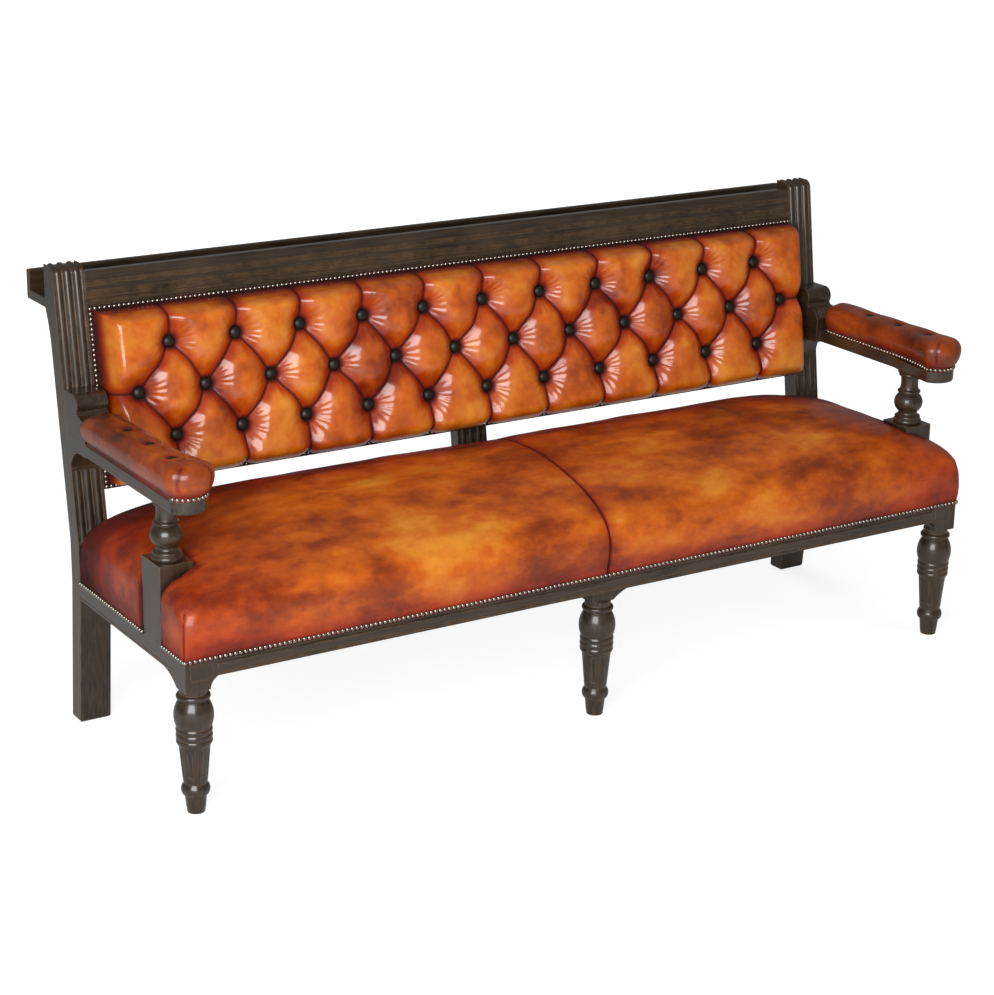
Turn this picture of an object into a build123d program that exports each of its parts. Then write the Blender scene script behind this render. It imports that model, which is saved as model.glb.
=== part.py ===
from build123d import *
import os
from math import asin, atan2, cos, degrees, hypot, radians, sin, tan

# A long upholstered pub bench in dark polished wood and leather.
# X runs along the bench, Y from front to back, Z up. The origin is on the floor,
# under the middle of the bench, halfway between the front and the back.

# Main sizes, in millimetres
bench_length = 1830
bench_depth = 692
bench_height = 915
seat_depth = 474
rail_bottom = 270
rail_top = 312
rail_thickness = 38
seat_swell = 12
side_swell = 4
fit_clearance = 0.15
soft_clearance = 0.3
cut_overrun = 1

# Rear posts
post_width = 64
post_depth = 40
post_splay_height = 296
post_splay_angle = 5.2
knee_height = 385
back_rake_angle = 8.2
post_top_radius = 18
post_foot_radius = 7
post_reed_depth = 4.5
post_reed_radius = 7.8
post_reed_count = 3
post_bead_radius = 1.7
lower_reed_drop = 4
flare_height = 62
flare_hollow = 2

# Joints between the pieces of the frame
tenon_length = 28
stub_length = 14
tenon_thickness = 12
tenon_shoulder = 6
housing_depth = 5
dowel_radius = 5
dowel_length = 60
leg_dowel_length = 36
leg_dowel_spacing = 24
spigot_radius = 9
spigot_length = 16

# Front legs
leg_block_width = 66
leg_block_depth = 54
leg_axis_inset = 27.5
leg_block_bottom = 246
leg_bulb_radius = 36.5
leg_neck_width = 50
leg_neck_depth = 38
leg_cheek_hollow = 4
leg_block_recess = 12
leg_flute_count = 8
leg_flute_radius = 5
leg_flute_depth = 2.2
leg_panel_width = 48
leg_panel_height = 31
leg_panel_margin = 9
leg_panel_line = 1.6
centre_bracket_run = 58
centre_bracket_thickness = 14
side_bracket_run = 56
side_bracket_thickness = 30
bracket_hollow = 5

# Seat rails
rail_cove_radius = 5
rail_cove_depth = 2.5
rail_line_radius = 2
rail_line_height = 6
cross_rail_width = 40
cross_rail_drop = 8
glue_block_leg = 50
glue_block_height = 26

# Back frame, measured up the slope from the knee
panel_bottom = 99
panel_top = 455
top_rail_lap = 32
top_rail_top = 522
back_rail_height = 42
back_frame_thickness = 36
back_stile_width = 34
upright_width = 46
top_rail_edge_radius = 4
top_rail_line_radius = 1.4
top_rail_bead_radius = 3.6
top_rail_step = 3
centre_stile_width = 72
centre_stile_depth = 28
centre_stile_recess = 10
centre_stile_shift = 12

# Ledge behind the back
ledge_board_top = 848
ledge_board_thickness = 18
ledge_lip_thickness = 14
ledge_lip_top = 888
ledge_edge_radius = 4
ledge_tongue = 8
ledge_screw_count = 7
screw_radius = 2.2
screw_head_radius = 4.5
screw_length = 38

# Arms and their pads
arm_bottom = 574
arm_thickness = 25
arm_waist = 54
arm_nose_width = 73
arm_nose_setback = 17
arm_nose_bow = 24
arm_flare_length = 130
arm_flare_hollow = 4
arm_roll_radius = 20
arm_roll_forward = 40
arm_roll_height = 666
arm_slope_run = 34
arm_slope_rise = 49
arm_slope_foot = 29
arm_corbel_radius = 44
arm_edge_radius = 5
arm_reed_radius = 2.6
arm_reed_count = 9
arm_reed_pitch = 6.4
pad_height = 69
pad_rear_gap = 8
pad_swell = 12
pad_rear_round = 28
pad_border = 10
pad_button_radius = 8
pad_button_height = 5
pad_button_count = 3
pad_button_pitch = 96
pad_button_setback = 91
pad_dimple_radius = 34
pad_dimple_depth = 7

# Arm supports
support_setback = 136
support_width = 67
support_depth = 78
support_top = 458
support_waist = 36
support_curve_bottom = 386
support_curve_rise = 26
support_curve_hollow = 6
baluster_radius = 31.5

# Seat: leather cushion, springs, webbing and cloths
seat_crown = 492
seat_cavity_top = 396
seat_front_wall = 46
seat_rear_wall = 40
seat_side_wall = 75
seat_rear_gap = 3
seat_seam_width = 5
seat_seam_depth = 4
leather_border = 10
border_thickness = 2
cloth_thickness = 1.5
web_width = 50
web_thickness = 2
web_count = 10
web_pitch = 165
web_lap = 10
spring_radius = 36
spring_wire = 1.8
spring_turns = 4
spring_row_gap = 150

# Buttoned back
back_border = 10
back_base = 40
back_crest = 76
back_swell = 4
back_seam = 2.4
back_corner_radius = 6
button_pitch = 141.8
button_row_gap = 91.5
button_middle_row = 283
button_columns = 11
button_radius = 12.5
button_height = 9
button_pocket = 1.5
back_web_count = 9
back_web_pitch = 190
back_pocket_inset = 10

# Nails
nail_radius = 4.3
nail_height = 2.4
nail_pitch = 10.2
nail_inset = 5

# Places worked out from the sizes above
front_y = seat_swell - bench_depth / 2
rear_y = bench_depth / 2
half_length = bench_length / 2
post_inner = half_length - post_width
post_front = front_y + seat_depth
rake = radians(back_rake_angle)
leg_x = half_length - leg_axis_inset
leg_y = front_y + leg_block_depth / 2
arm_top = arm_bottom + arm_thickness
support_y = front_y + support_setback
rail_back = front_y + rail_thickness
rear_rail_front = post_front - rail_thickness / 2
rear_rail_back = rear_rail_front + rail_thickness
tenon_low = rail_bottom + tenon_shoulder
tenon_high = rail_top - tenon_shoulder
front_tenon_y = front_y + (rail_thickness - tenon_thickness) / 2
rear_tenon_y = rear_rail_front + rail_thickness - tenon_thickness
side_tenon_outer = half_length - (rail_thickness - tenon_thickness) / 2
side_tenon_inner = side_tenon_outer - tenon_thickness
sides = (-1, 1)
side_names = ("left", "right")


# A point of the raked back: up the slope from the knee, and outward to the front
def back_point(up, out):
    y = post_front + up * sin(rake) - out * cos(rake)
    z = knee_height + up * cos(rake) + out * sin(rake)
    return y, z


# The slope distance of a point that is at a given height and distance outward
def slope_at(height, out=0):
    return (height - knee_height - out * sin(rake)) / cos(rake)


def back_y(height, out=0):
    return back_point(slope_at(height, out), out)[0]


# Sketches on this plane use X along the bench and Y up the slope of the back
def back_plane(out):
    y, z = back_point(0, out)
    return Plane(origin=(0, y, z), x_dir=(1, 0, 0), z_dir=(0, -cos(rake), sin(rake)))


# Sketches on this plane use X up the slope and Y outward, and extrude along the bench
def slope_section(x):
    y, z = back_point(0, 0)
    return Plane(origin=(x, y, z), x_dir=(0, sin(rake), cos(rake)), z_dir=(1, 0, 0))


# Sketches on this plane use X front to back and Y up, and extrude along the bench
def side_section(x):
    return Plane(origin=(x, 0, 0), x_dir=(0, 1, 0), z_dir=(1, 0, 0))


# A box from its low corner to its high corner, in whichever part is being made
def block(low, high, mode=Mode.ADD):
    size = tuple(high[i] - low[i] for i in range(len(low)))
    middle = tuple((high[i] + low[i]) / 2 for i in range(len(low)))
    with Locations(middle):
        Box(*size, mode=mode)


# A box given by its reach along the bench, for either side
def side_block(side, inner, outer, low, high, mode=Mode.ADD):
    ends = sorted((side * inner, side * outer))
    block((ends[0], low[0], low[1]), (ends[1], high[0], high[1]), mode)


# A box that leans with the back: reach up the slope, thickness inward from out
def raked_block(x, width, reach, out, thickness, mode=Mode.ADD):
    with BuildSketch(back_plane(out)) as face:
        with Locations((x, (reach[0] + reach[1]) / 2)):
            Rectangle(width, reach[1] - reach[0])
    extrude(face.sketch, amount=-thickness, mode=mode)


# The tenon of a back rail, or its mortise when it is cut with a clearance
def raked_tenon(x, width, reach, clearance=0, mode=Mode.ADD):
    raked_block(x, width + 2 * clearance,
                (reach[0] + tenon_shoulder - clearance, reach[1] - tenon_shoulder + clearance),
                (tenon_thickness - back_frame_thickness) / 2 + clearance,
                tenon_thickness + 2 * clearance, mode)


def swell_point(start, end, swell):
    run = (end[0] - start[0], end[1] - start[1])
    length = hypot(*run)
    return ((start[0] + end[0]) / 2 + run[1] / length * swell,
            (start[1] + end[1]) / 2 - run[0] / length * swell)


# Half the outline of a turned piece, from shares of its height and largest radius;
# the third share swells or hollows the stretch up to the next point
def turned_profile(shares, height, radius):
    points = [(r * radius, z * height) for z, r, swell in shares]
    with BuildSketch(Plane.XZ) as profile:
        with BuildLine():
            for i in range(len(points) - 1):
                swell = shares[i][2] * radius
                if swell:
                    middle = swell_point(points[i], points[i + 1], swell)
                    ThreePointArc(points[i], middle, points[i + 1])
                else:
                    Line(points[i], points[i + 1])
            Line(points[-1], (0, points[-1][1]))
            Line((0, points[-1][1]), (0, points[0][1]))
            Line((0, points[0][1]), points[0])
        make_face()
    return profile.sketch


def finish(piece, name):
    piece.part.label = name
    export_step(piece.part, f"parts/{name}.step")


os.makedirs("parts", exist_ok=True)

# Rear posts: a splayed foot, a raked upright and a small flare under the ledge
ledge_bottom = ledge_board_top - ledge_board_thickness
splay_run = post_splay_height * tan(radians(post_splay_angle))
post_back_top = back_y(bench_height) + post_depth
flare_start = ledge_bottom - flare_height
upper_reed_low = slope_at(arm_roll_height + arm_roll_radius)
lower_reed_high = slope_at(arm_bottom - arm_corbel_radius) - lower_reed_drop
arm_dowel_x = half_length - post_width / 2
arm_dowel_heights = (arm_bottom + arm_thickness / 2, arm_roll_height - arm_roll_radius)
rail_reaches = ((panel_bottom, panel_bottom + back_rail_height),
                (panel_top - top_rail_lap, top_rail_top))


def post_profile():
    front_foot = (post_front + splay_run, 0)
    back_foot = (front_foot[0] + post_depth, 0)
    back_bend = (post_front + post_depth, post_splay_height)
    back_knee = (post_front + post_depth, knee_height)
    flare_foot = (back_y(flare_start) + post_depth, flare_start)
    flare_head = (post_back_top, ledge_bottom)
    with BuildSketch(side_section(-post_width / 2)) as profile:
        with BuildLine():
            Polyline(back_foot, front_foot, (post_front, post_splay_height),
                     (post_front, knee_height), (back_y(bench_height), bench_height),
                     (post_back_top, bench_height), flare_head)
            hollow = swell_point(flare_head, flare_foot, flare_hollow)
            ThreePointArc(flare_head, hollow, flare_foot)
            Polyline(flare_foot, back_knee, back_bend, back_foot)
        make_face()
    return profile.sketch


# Broad reeds stand side by side, with a thin bead on both sides of each
reed_step = 2 * (post_reed_radius + post_bead_radius)
reed_band = post_reed_count * reed_step + 2 * post_bead_radius
reed_places = [(i - (post_reed_count - 1) / 2) * reed_step for i in range(post_reed_count)]
bead_places = [(i - post_reed_count / 2) * reed_step for i in range(post_reed_count + 1)]
top_curve_slope = slope_at(bench_height - post_top_radius, -post_top_radius)
top_curve_middle = back_point(top_curve_slope, -post_top_radius)


# The reeds and beads in section, on a plane whose Y points into the wood
def reed_section(plane):
    with BuildSketch(plane) as reeds:
        with Locations(*[(place, post_reed_radius) for place in reed_places]):
            Circle(post_reed_radius)
        with Locations(*[(place, post_reed_depth) for place in bead_places]):
            Circle(post_bead_radius)
    return reeds.sketch


def slope_foot_plane(x, low, out):
    return Plane(origin=(x, *back_point(low, out)), x_dir=(1, 0, 0),
                 z_dir=(0, sin(rake), cos(rake)))


# A sunk field from low to high up a raked front face, with its reeds
def reed_field(low, high, x, out):
    raked_block(x, reed_band, (low, high), out + post_reed_depth, 2 * post_reed_depth,
                Mode.SUBTRACT)
    extrude(reed_section(slope_foot_plane(x, low, out)), amount=high - low)


# A point of the rounded top of a post: the share runs from the front face to the top
def top_curve_point(radius, share):
    angle = radians(180) - rake - share * (radians(90) - rake)
    return (top_curve_middle[0] + radius * cos(angle), top_curve_middle[1] + radius * sin(angle))


# The sunk field and its reeds go on over the rounded top, to the back of the post
def reed_top():
    outside = post_top_radius + cut_overrun
    inside = post_top_radius - post_reed_depth
    back = post_back_top + cut_overrun
    with BuildSketch(side_section(-reed_band / 2)) as field:
        with BuildLine():
            ThreePointArc(*[top_curve_point(outside, share) for share in (0, .5, 1)])
            Polyline(top_curve_point(outside, 1), (back, top_curve_middle[1] + outside),
                     (back, top_curve_middle[1] + inside), top_curve_point(inside, 1))
            ThreePointArc(*[top_curve_point(inside, share) for share in (1, .5, 0)])
            Line(top_curve_point(inside, 0), top_curve_point(outside, 0))
        make_face()
    extrude(field.sketch, amount=reed_band, mode=Mode.SUBTRACT)
    revolve(reed_section(slope_foot_plane(0, top_curve_slope, 0)),
            axis=Axis((0, *top_curve_middle), (-1, 0, 0)), revolution_arc=90 - back_rake_angle)
    top_plane = Plane(origin=(0, top_curve_middle[0], bench_height), x_dir=(1, 0, 0),
                      z_dir=(0, 1, 0))
    extrude(reed_section(top_plane), amount=post_back_top - top_curve_middle[0])


with BuildPart() as plain_post:
    extrude(post_profile(), amount=post_width)
    fillet(plain_post.edges().filter_by(Axis.X).group_by(Axis.Z)[-1].sort_by(Axis.Y)[0],
           radius=post_top_radius)
    fillet(plain_post.edges().group_by(Axis.Z)[0], radius=post_foot_radius)
    reed_field(upper_reed_low, top_curve_slope, 0, 0)
    reed_top()
    reed_field(0, lower_reed_high, 0, 0)

for side, side_name in zip(sides, side_names):
    with BuildPart() as rear_post:
        with Locations((side * (half_length - post_width / 2), 0, 0)):
            add(plain_post.part)
        # Mortises for the two rails of the back
        for reach in rail_reaches:
            raked_tenon(side * post_inner, 2 * tenon_length, reach, fit_clearance,
                        Mode.SUBTRACT)
        # Mortises for the rear rail and the side rail of the seat
        side_block(side, post_inner - cut_overrun, post_inner + tenon_length + fit_clearance,
                   (post_front - cut_overrun, tenon_low - fit_clearance),
                   (rear_tenon_y + tenon_thickness + fit_clearance,
                    tenon_high + fit_clearance), Mode.SUBTRACT)
        side_block(side, side_tenon_inner - fit_clearance, side_tenon_outer + fit_clearance,
                   (post_front - cut_overrun, tenon_low - fit_clearance),
                   (post_front + stub_length + fit_clearance,
                    tenon_high + fit_clearance), Mode.SUBTRACT)
        # Holes for the dowels of the arm
        for height in arm_dowel_heights:
            with Locations(Location((side * arm_dowel_x, back_y(height), height), (90, 0, 0))):
                Cylinder(dowel_radius + fit_clearance, dowel_length + 2 * fit_clearance,
                         mode=Mode.SUBTRACT)
    finish(rear_post, f"{side_name}_rear_post")

# Front legs: a turned and fluted shaft under a square block. Each turned table gives
# height, radius and the swell of the stretch to the next point.
leg_shares = (
    (0, .45, 0), (.05, .5, 0), (.14, .56, 0), (.15, .66, .08), (.225, .66, 0),
    (.24, .6, 0), (.262, .63, 0), (.548, .8, 0), (.556, .86, .05), (.6, .88, .05),
    (.648, .88, .05), (.695, .88, 0), (.7, .9, .165), (.9, .78, 0), (.912, .72, 0),
    (.916, .8, .07), (.955, .8, 0), (.96, .72, 0), (1, .72, 0))
flute_height_shares = (.3, .52)
flute_radius_shares = (.655, .78)
leg_dowel_places = [(i * leg_dowel_spacing / 2, leg_block_recess) for i in sides]

with BuildPart() as turned_leg:
    revolve(turned_profile(leg_shares, leg_block_bottom, leg_bulb_radius), axis=Axis.Z)
    low, high = [share * leg_block_bottom for share in flute_height_shares]
    inner, outer = [share * leg_bulb_radius for share in flute_radius_shares]
    tilt = degrees(atan2(outer - inner, high - low))
    flute_x = (inner + outer) / 2 + leg_flute_radius - leg_flute_depth
    with PolarLocations(0, leg_flute_count):
        with Locations(Location((flute_x, 0, (low + high) / 2), (0, tilt, 0))):
            Cylinder(leg_flute_radius, hypot(high - low, outer - inner), mode=Mode.SUBTRACT)

for side, side_name in zip(sides, side_names):
    outer_x = side * half_length
    inner_x = side * (half_length - leg_block_width)
    neck_x = side * (half_length - leg_neck_width)
    with BuildPart() as front_leg:
        with Locations((side * leg_x, leg_y, 0)):
            add(turned_leg.part)
        side_block(side, half_length - leg_block_width, half_length, (front_y, rail_bottom),
                   (front_y + leg_block_depth, rail_top))
        # Below the rails the block draws in on a hollow cheek
        with BuildSketch(Plane.XZ.offset(-front_y)) as cheek:
            with BuildLine():
                Polyline((neck_x, leg_block_bottom), (outer_x, leg_block_bottom),
                         (outer_x, rail_bottom), (inner_x, rail_bottom))
                hollow = swell_point((neck_x, leg_block_bottom), (inner_x, rail_bottom),
                                     side * leg_cheek_hollow)
                ThreePointArc((inner_x, rail_bottom), hollow, (neck_x, leg_block_bottom))
            make_face()
        extrude(cheek.sketch, amount=-leg_neck_depth)
        # A square line is cut into the front of the block
        panel_x = side * (half_length - leg_panel_margin - leg_panel_width / 2)
        panel_z = rail_top - leather_border - leg_panel_margin / 2 - leg_panel_height / 2
        with BuildSketch(Plane.XZ.offset(-front_y - leg_panel_line / 2)) as panel_line:
            with Locations((panel_x, panel_z)):
                Rectangle(leg_panel_width, leg_panel_height)
                Rectangle(leg_panel_width - 2 * leg_panel_line,
                          leg_panel_height - 2 * leg_panel_line, mode=Mode.SUBTRACT)
        extrude(panel_line.sketch, amount=leg_panel_line, mode=Mode.SUBTRACT)
        # Mortises for the front rail and the side rail
        side_block(side, half_length - leg_block_width - cut_overrun,
                   half_length - leg_block_width + tenon_length + fit_clearance,
                   (front_tenon_y - fit_clearance, tenon_low - fit_clearance),
                   (front_tenon_y + tenon_thickness + fit_clearance,
                    tenon_high + fit_clearance), Mode.SUBTRACT)
        side_block(side, side_tenon_inner - fit_clearance, side_tenon_outer + fit_clearance,
                   (front_y + leg_block_depth - stub_length - fit_clearance,
                    tenon_low - fit_clearance),
                   (front_y + leg_block_depth + cut_overrun, tenon_high + fit_clearance),
                   Mode.SUBTRACT)
    finish(front_leg, f"front_{side_name}_leg")

centre_block_y = front_y + leg_block_recess
with BuildPart() as front_centre_leg:
    with Locations((0, centre_block_y + leg_neck_depth / 2, 0)):
        add(turned_leg.part)
    block((-leg_neck_width / 2, centre_block_y, leg_block_bottom),
          (leg_neck_width / 2, centre_block_y + leg_neck_depth, rail_bottom))
    with Locations(*[(x, rail_back - tenon_thickness, rail_bottom) for x, y in leg_dowel_places]):
        Cylinder(dowel_radius + fit_clearance, leg_dowel_length + 2 * fit_clearance,
                 mode=Mode.SUBTRACT)
finish(front_centre_leg, "front_centre_leg")

# Glued brackets: one beside the centre leg, one behind each corner leg
bracket_drop = rail_bottom - leg_block_bottom


def bracket_profile(plane, run):
    with BuildSketch(plane) as profile:
        with BuildLine():
            Polyline((0, -bracket_drop), (0, 0), (run, 0))
            hollow = swell_point((0, -bracket_drop), (run, 0), -bracket_hollow)
            ThreePointArc((run, 0), hollow, (0, -bracket_drop))
        make_face()
    return profile.sketch


with BuildPart() as centre_leg_bracket:
    corner = Plane(origin=(leg_neck_width / 2, centre_block_y, rail_bottom),
                   x_dir=(1, 0, 0), z_dir=(0, -1, 0))
    extrude(bracket_profile(corner, centre_bracket_run), amount=-centre_bracket_thickness)
finish(centre_leg_bracket, "centre_leg_bracket")

for side, side_name in zip(sides, side_names):
    with BuildPart() as side_bracket:
        corner = Plane(origin=(side * half_length, front_y + leg_neck_depth, rail_bottom),
                       x_dir=(0, 1, 0), z_dir=(1, 0, 0))
        extrude(bracket_profile(corner, side_bracket_run),
                amount=-side * side_bracket_thickness)
    finish(side_bracket, f"{side_name}_side_bracket")

# Seat rails. The front one is moulded and runs across the top of the centre leg.
front_rail_half = half_length - leg_block_width
cross_low = rail_bottom + cross_rail_drop
cross_high = rail_top - cross_rail_drop


def cut_cross_housing(low_y, high_y):
    block((-cross_rail_width / 2 - fit_clearance, low_y, cross_low - fit_clearance),
          (cross_rail_width / 2 + fit_clearance, high_y, cross_high + fit_clearance),
          Mode.SUBTRACT)


with BuildPart() as front_seat_rail:
    block((-front_rail_half, front_y, rail_bottom), (front_rail_half, rail_back, rail_top))
    cove_z = rail_top - leather_border - rail_cove_radius
    for z, radius, depth in ((cove_z, rail_cove_radius, rail_cove_depth),
                             (rail_bottom + rail_line_height, rail_line_radius,
                              rail_line_radius / 2)):
        with Locations(Location((0, front_y + depth - radius, z), (0, 90, 0))):
            Cylinder(radius, 2 * front_rail_half, mode=Mode.SUBTRACT)
    block((-front_rail_half - tenon_length, front_tenon_y, tenon_low),
          (front_rail_half + tenon_length, front_tenon_y + tenon_thickness, tenon_high))
    cut_cross_housing(rail_back - housing_depth - fit_clearance, rail_back + cut_overrun)
    with Locations(*[(x, rail_back - tenon_thickness, rail_bottom) for x, y in leg_dowel_places]):
        Cylinder(dowel_radius + fit_clearance, leg_dowel_length + 2 * fit_clearance,
                 mode=Mode.SUBTRACT)
finish(front_seat_rail, "front_seat_rail")

with BuildPart() as rear_seat_rail:
    block((-post_inner, rear_rail_front, rail_bottom), (post_inner, rear_rail_back, rail_top))
    block((-post_inner - tenon_length, rear_tenon_y, tenon_low),
          (post_inner + tenon_length, rear_tenon_y + tenon_thickness, tenon_high))
    cut_cross_housing(rear_rail_front - cut_overrun, rear_rail_front + housing_depth + fit_clearance)
finish(rear_seat_rail, "rear_seat_rail")

side_rail_front = front_y + leg_block_depth
for side, side_name in zip(sides, side_names):
    with BuildPart() as side_rail:
        side_block(side, half_length - rail_thickness, half_length,
                   (side_rail_front, rail_bottom), (post_front, rail_top))
        side_block(side, side_tenon_inner, side_tenon_outer,
                   (side_rail_front - stub_length, tenon_low),
                   (post_front + stub_length, tenon_high))
        side_block(side, side_tenon_inner - fit_clearance, side_tenon_outer + fit_clearance,
                   (support_y - support_depth / 2 + tenon_shoulder - fit_clearance,
                    rail_top - stub_length - fit_clearance),
                   (support_y + support_depth / 2 - tenon_shoulder + fit_clearance,
                    rail_top + cut_overrun), Mode.SUBTRACT)
        with Locations(Location((side * half_length, (side_rail_front + post_front) / 2,
                                 rail_bottom + rail_line_height), (90, 0, 0))):
            Cylinder(rail_line_radius / 2, post_front - side_rail_front, mode=Mode.SUBTRACT)
    finish(side_rail, f"{side_name}_seat_rail")

with BuildPart() as centre_cross_rail:
    block((-cross_rail_width / 2, rail_back - housing_depth, cross_low),
          (cross_rail_width / 2, rear_rail_front + housing_depth, cross_high))
finish(centre_cross_rail, "centre_cross_rail")

with BuildPart() as glue_blocks:
    for across in sides:
        for wall_y, inward in ((rail_back, 1), (rear_rail_front, -1)):
            corner_x = across * cross_rail_width / 2
            with BuildSketch(Plane.XY.offset(cross_low)) as wedge:
                with BuildLine():
                    Polyline((corner_x, wall_y),
                             (corner_x + across * glue_block_leg / 2, wall_y),
                             (corner_x, wall_y + inward * glue_block_leg), close=True)
                make_face()
            extrude(wedge.sketch, amount=glue_block_height)
finish(glue_blocks, "glue_blocks")

with BuildPart() as centre_leg_dowels:
    with Locations(*[(x, rail_back - tenon_thickness, rail_bottom) for x, y in leg_dowel_places]):
        Cylinder(dowel_radius, leg_dowel_length)
finish(centre_leg_dowels, "centre_leg_dowels")

# Back frame: moulded top rail, lower rail, side stiles and a middle upright
bottom_reach, top_reach = rail_reaches
line_shares = (.32, .4, .6, .67)
bead_share = .8
step_share = .93
tenon_out = (tenon_thickness - back_frame_thickness) / 2
stile_x = post_inner - back_stile_width / 2
stile_places = ((-stile_x, back_stile_width), (0, upright_width), (stile_x, back_stile_width))
ledge_middle = ledge_board_top - ledge_board_thickness / 2
tongue_y = back_y(ledge_middle, -back_frame_thickness) - ledge_tongue
lip_front = rear_y - ledge_lip_thickness


def cut_stile_mortises(reach):
    for x, width in stile_places:
        raked_block(x, width - 2 * tenon_shoulder + 2 * fit_clearance, reach,
                    tenon_out + fit_clearance, tenon_thickness + 2 * fit_clearance,
                    Mode.SUBTRACT)


with BuildPart() as top_rail:
    face_height = top_rail_top - panel_top
    with BuildSketch(slope_section(-post_inner)) as moulding:
        with Locations(((top_reach[0] + top_rail_top) / 2, -back_frame_thickness / 2)):
            Rectangle(top_rail_top - top_reach[0], back_frame_thickness)
        fillet(moulding.vertices().group_by(Axis.X)[-1], radius=top_rail_edge_radius)
        with Locations(*[(top_rail_top - share * face_height, 0) for share in line_shares]):
            Circle(top_rail_line_radius, mode=Mode.SUBTRACT)
        bead = top_rail_top - bead_share * face_height
        with Locations((bead + top_rail_bead_radius, 0), (bead - top_rail_bead_radius, 0)):
            Circle(top_rail_line_radius, mode=Mode.SUBTRACT)
        step = top_rail_top - step_share * face_height
        with Locations(((panel_top + step) / 2, 0)):
            Rectangle(step - panel_top, 2 * top_rail_step, mode=Mode.SUBTRACT)
    extrude(moulding.sketch, amount=2 * post_inner)
    raked_tenon(0, 2 * (post_inner + tenon_length), top_reach)
    cut_stile_mortises((top_reach[0] - cut_overrun, top_reach[0] + stub_length + fit_clearance))
    block((-post_inner - cut_overrun, tongue_y - fit_clearance,
           ledge_middle - ledge_tongue / 2 - fit_clearance),
          (post_inner + cut_overrun, lip_front, ledge_middle + ledge_tongue / 2 + fit_clearance),
          Mode.SUBTRACT)
finish(top_rail, "top_rail")

with BuildPart() as back_bottom_rail:
    raked_block(0, 2 * post_inner, bottom_reach, 0, back_frame_thickness)
    raked_tenon(0, 2 * (post_inner + tenon_length), bottom_reach)
    cut_stile_mortises((bottom_reach[1] - stub_length - fit_clearance,
                        bottom_reach[1] + cut_overrun))
    raked_block(-centre_stile_shift, centre_stile_width - 2 * tenon_shoulder + 2 * fit_clearance,
                (panel_bottom - cut_overrun, panel_bottom + stub_length + fit_clearance),
                tenon_out + fit_clearance, tenon_thickness + 2 * fit_clearance, Mode.SUBTRACT)
finish(back_bottom_rail, "back_bottom_rail")

for (x, width), name in zip(stile_places, ("left_back_stile", "back_upright",
                                           "right_back_stile")):
    with BuildPart() as back_stile:
        raked_block(x, width, (bottom_reach[1], top_reach[0]), 0, back_frame_thickness)
        raked_block(x, width - 2 * tenon_shoulder,
                    (bottom_reach[1] - stub_length, top_reach[0] + stub_length),
                    tenon_out, tenon_thickness)
    finish(back_stile, name)

# The reeded stile below the back stands on the rear rail and laps behind it
stile_front = post_front + centre_stile_recess
stile_back = stile_front + centre_stile_depth
stile_outs = (-centre_stile_recess, -centre_stile_recess - centre_stile_depth)
with BuildPart() as centre_back_stile:
    bends = [knee_height + out * tan(rake / 2) for out in stile_outs]
    with BuildSketch(side_section(-centre_stile_shift - centre_stile_width / 2)) as profile:
        with BuildLine():
            Polyline((stile_front, rail_top), (stile_front, bends[0]),
                     back_point(panel_bottom, stile_outs[0]),
                     back_point(panel_bottom, stile_outs[1]), (stile_back, bends[1]),
                     (stile_back, tenon_low), (rear_rail_back, tenon_low),
                     (rear_rail_back, rail_top), close=True)
        make_face()
    extrude(profile.sketch, amount=centre_stile_width)
    reed_field(0, panel_bottom, -centre_stile_shift, stile_outs[0])
    raked_block(-centre_stile_shift, centre_stile_width - 2 * tenon_shoulder,
                (panel_bottom - stub_length, panel_bottom + stub_length), tenon_out,
                tenon_thickness)
finish(centre_back_stile, "centre_back_stile")

# The ledge: a board tongued into the top rail, with a lip screwed on behind
screw_places = [(i / (ledge_screw_count - 1) - .5) * 2 * post_inner
                for i in range(ledge_screw_count)]
screw_head_length = screw_head_radius - screw_radius


def ledge_screw(x, clearance, mode=Mode.ADD):
    length = screw_length + clearance
    with Locations(Location((x, rear_y - length / 2, ledge_middle), (90, 0, 0))):
        Cylinder(screw_radius + clearance, length, mode=mode)
    with Locations(Location((x, rear_y - screw_head_length / 2, ledge_middle), (90, 0, 0))):
        Cylinder(screw_head_radius + clearance, screw_head_length, mode=mode)


with BuildPart() as ledge_board:
    with BuildSketch(side_section(-post_inner + fit_clearance)) as section:
        with BuildLine():
            Polyline((back_y(ledge_bottom, -back_frame_thickness), ledge_bottom),
                     (lip_front, ledge_bottom), (lip_front, ledge_board_top),
                     (back_y(ledge_board_top, -back_frame_thickness), ledge_board_top),
                     close=True)
        make_face()
    extrude(section.sketch, amount=2 * (post_inner - fit_clearance))
    block((-post_inner + fit_clearance, tongue_y, ledge_middle - ledge_tongue / 2),
          (post_inner - fit_clearance, lip_front, ledge_middle + ledge_tongue / 2))
    block((-half_length, post_back_top, ledge_bottom),
          (half_length, lip_front, ledge_board_top))
    for x in screw_places:
        ledge_screw(x, fit_clearance, Mode.SUBTRACT)
finish(ledge_board, "ledge_board")

with BuildPart() as ledge_lip:
    block((-half_length, lip_front, ledge_bottom), (half_length, rear_y, ledge_lip_top))
    fillet(ledge_lip.edges().filter_by(Axis.X).group_by(Axis.Z)[-1], radius=ledge_edge_radius)
    for x in screw_places:
        ledge_screw(x, fit_clearance, Mode.SUBTRACT)
finish(ledge_lip, "ledge_lip")

with BuildPart() as ledge_screws:
    for x in screw_places:
        ledge_screw(x, 0)
finish(ledge_screws, "ledge_screws")

# Arm supports: a square block on a curved neck, tenoned into the side rail
support_front = support_y - support_depth / 2
support_rear = support_y + support_depth / 2
baluster_x = half_length - support_width / 2
baluster_height = arm_bottom - support_top
support_shoulder = support_curve_bottom + support_curve_rise

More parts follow.
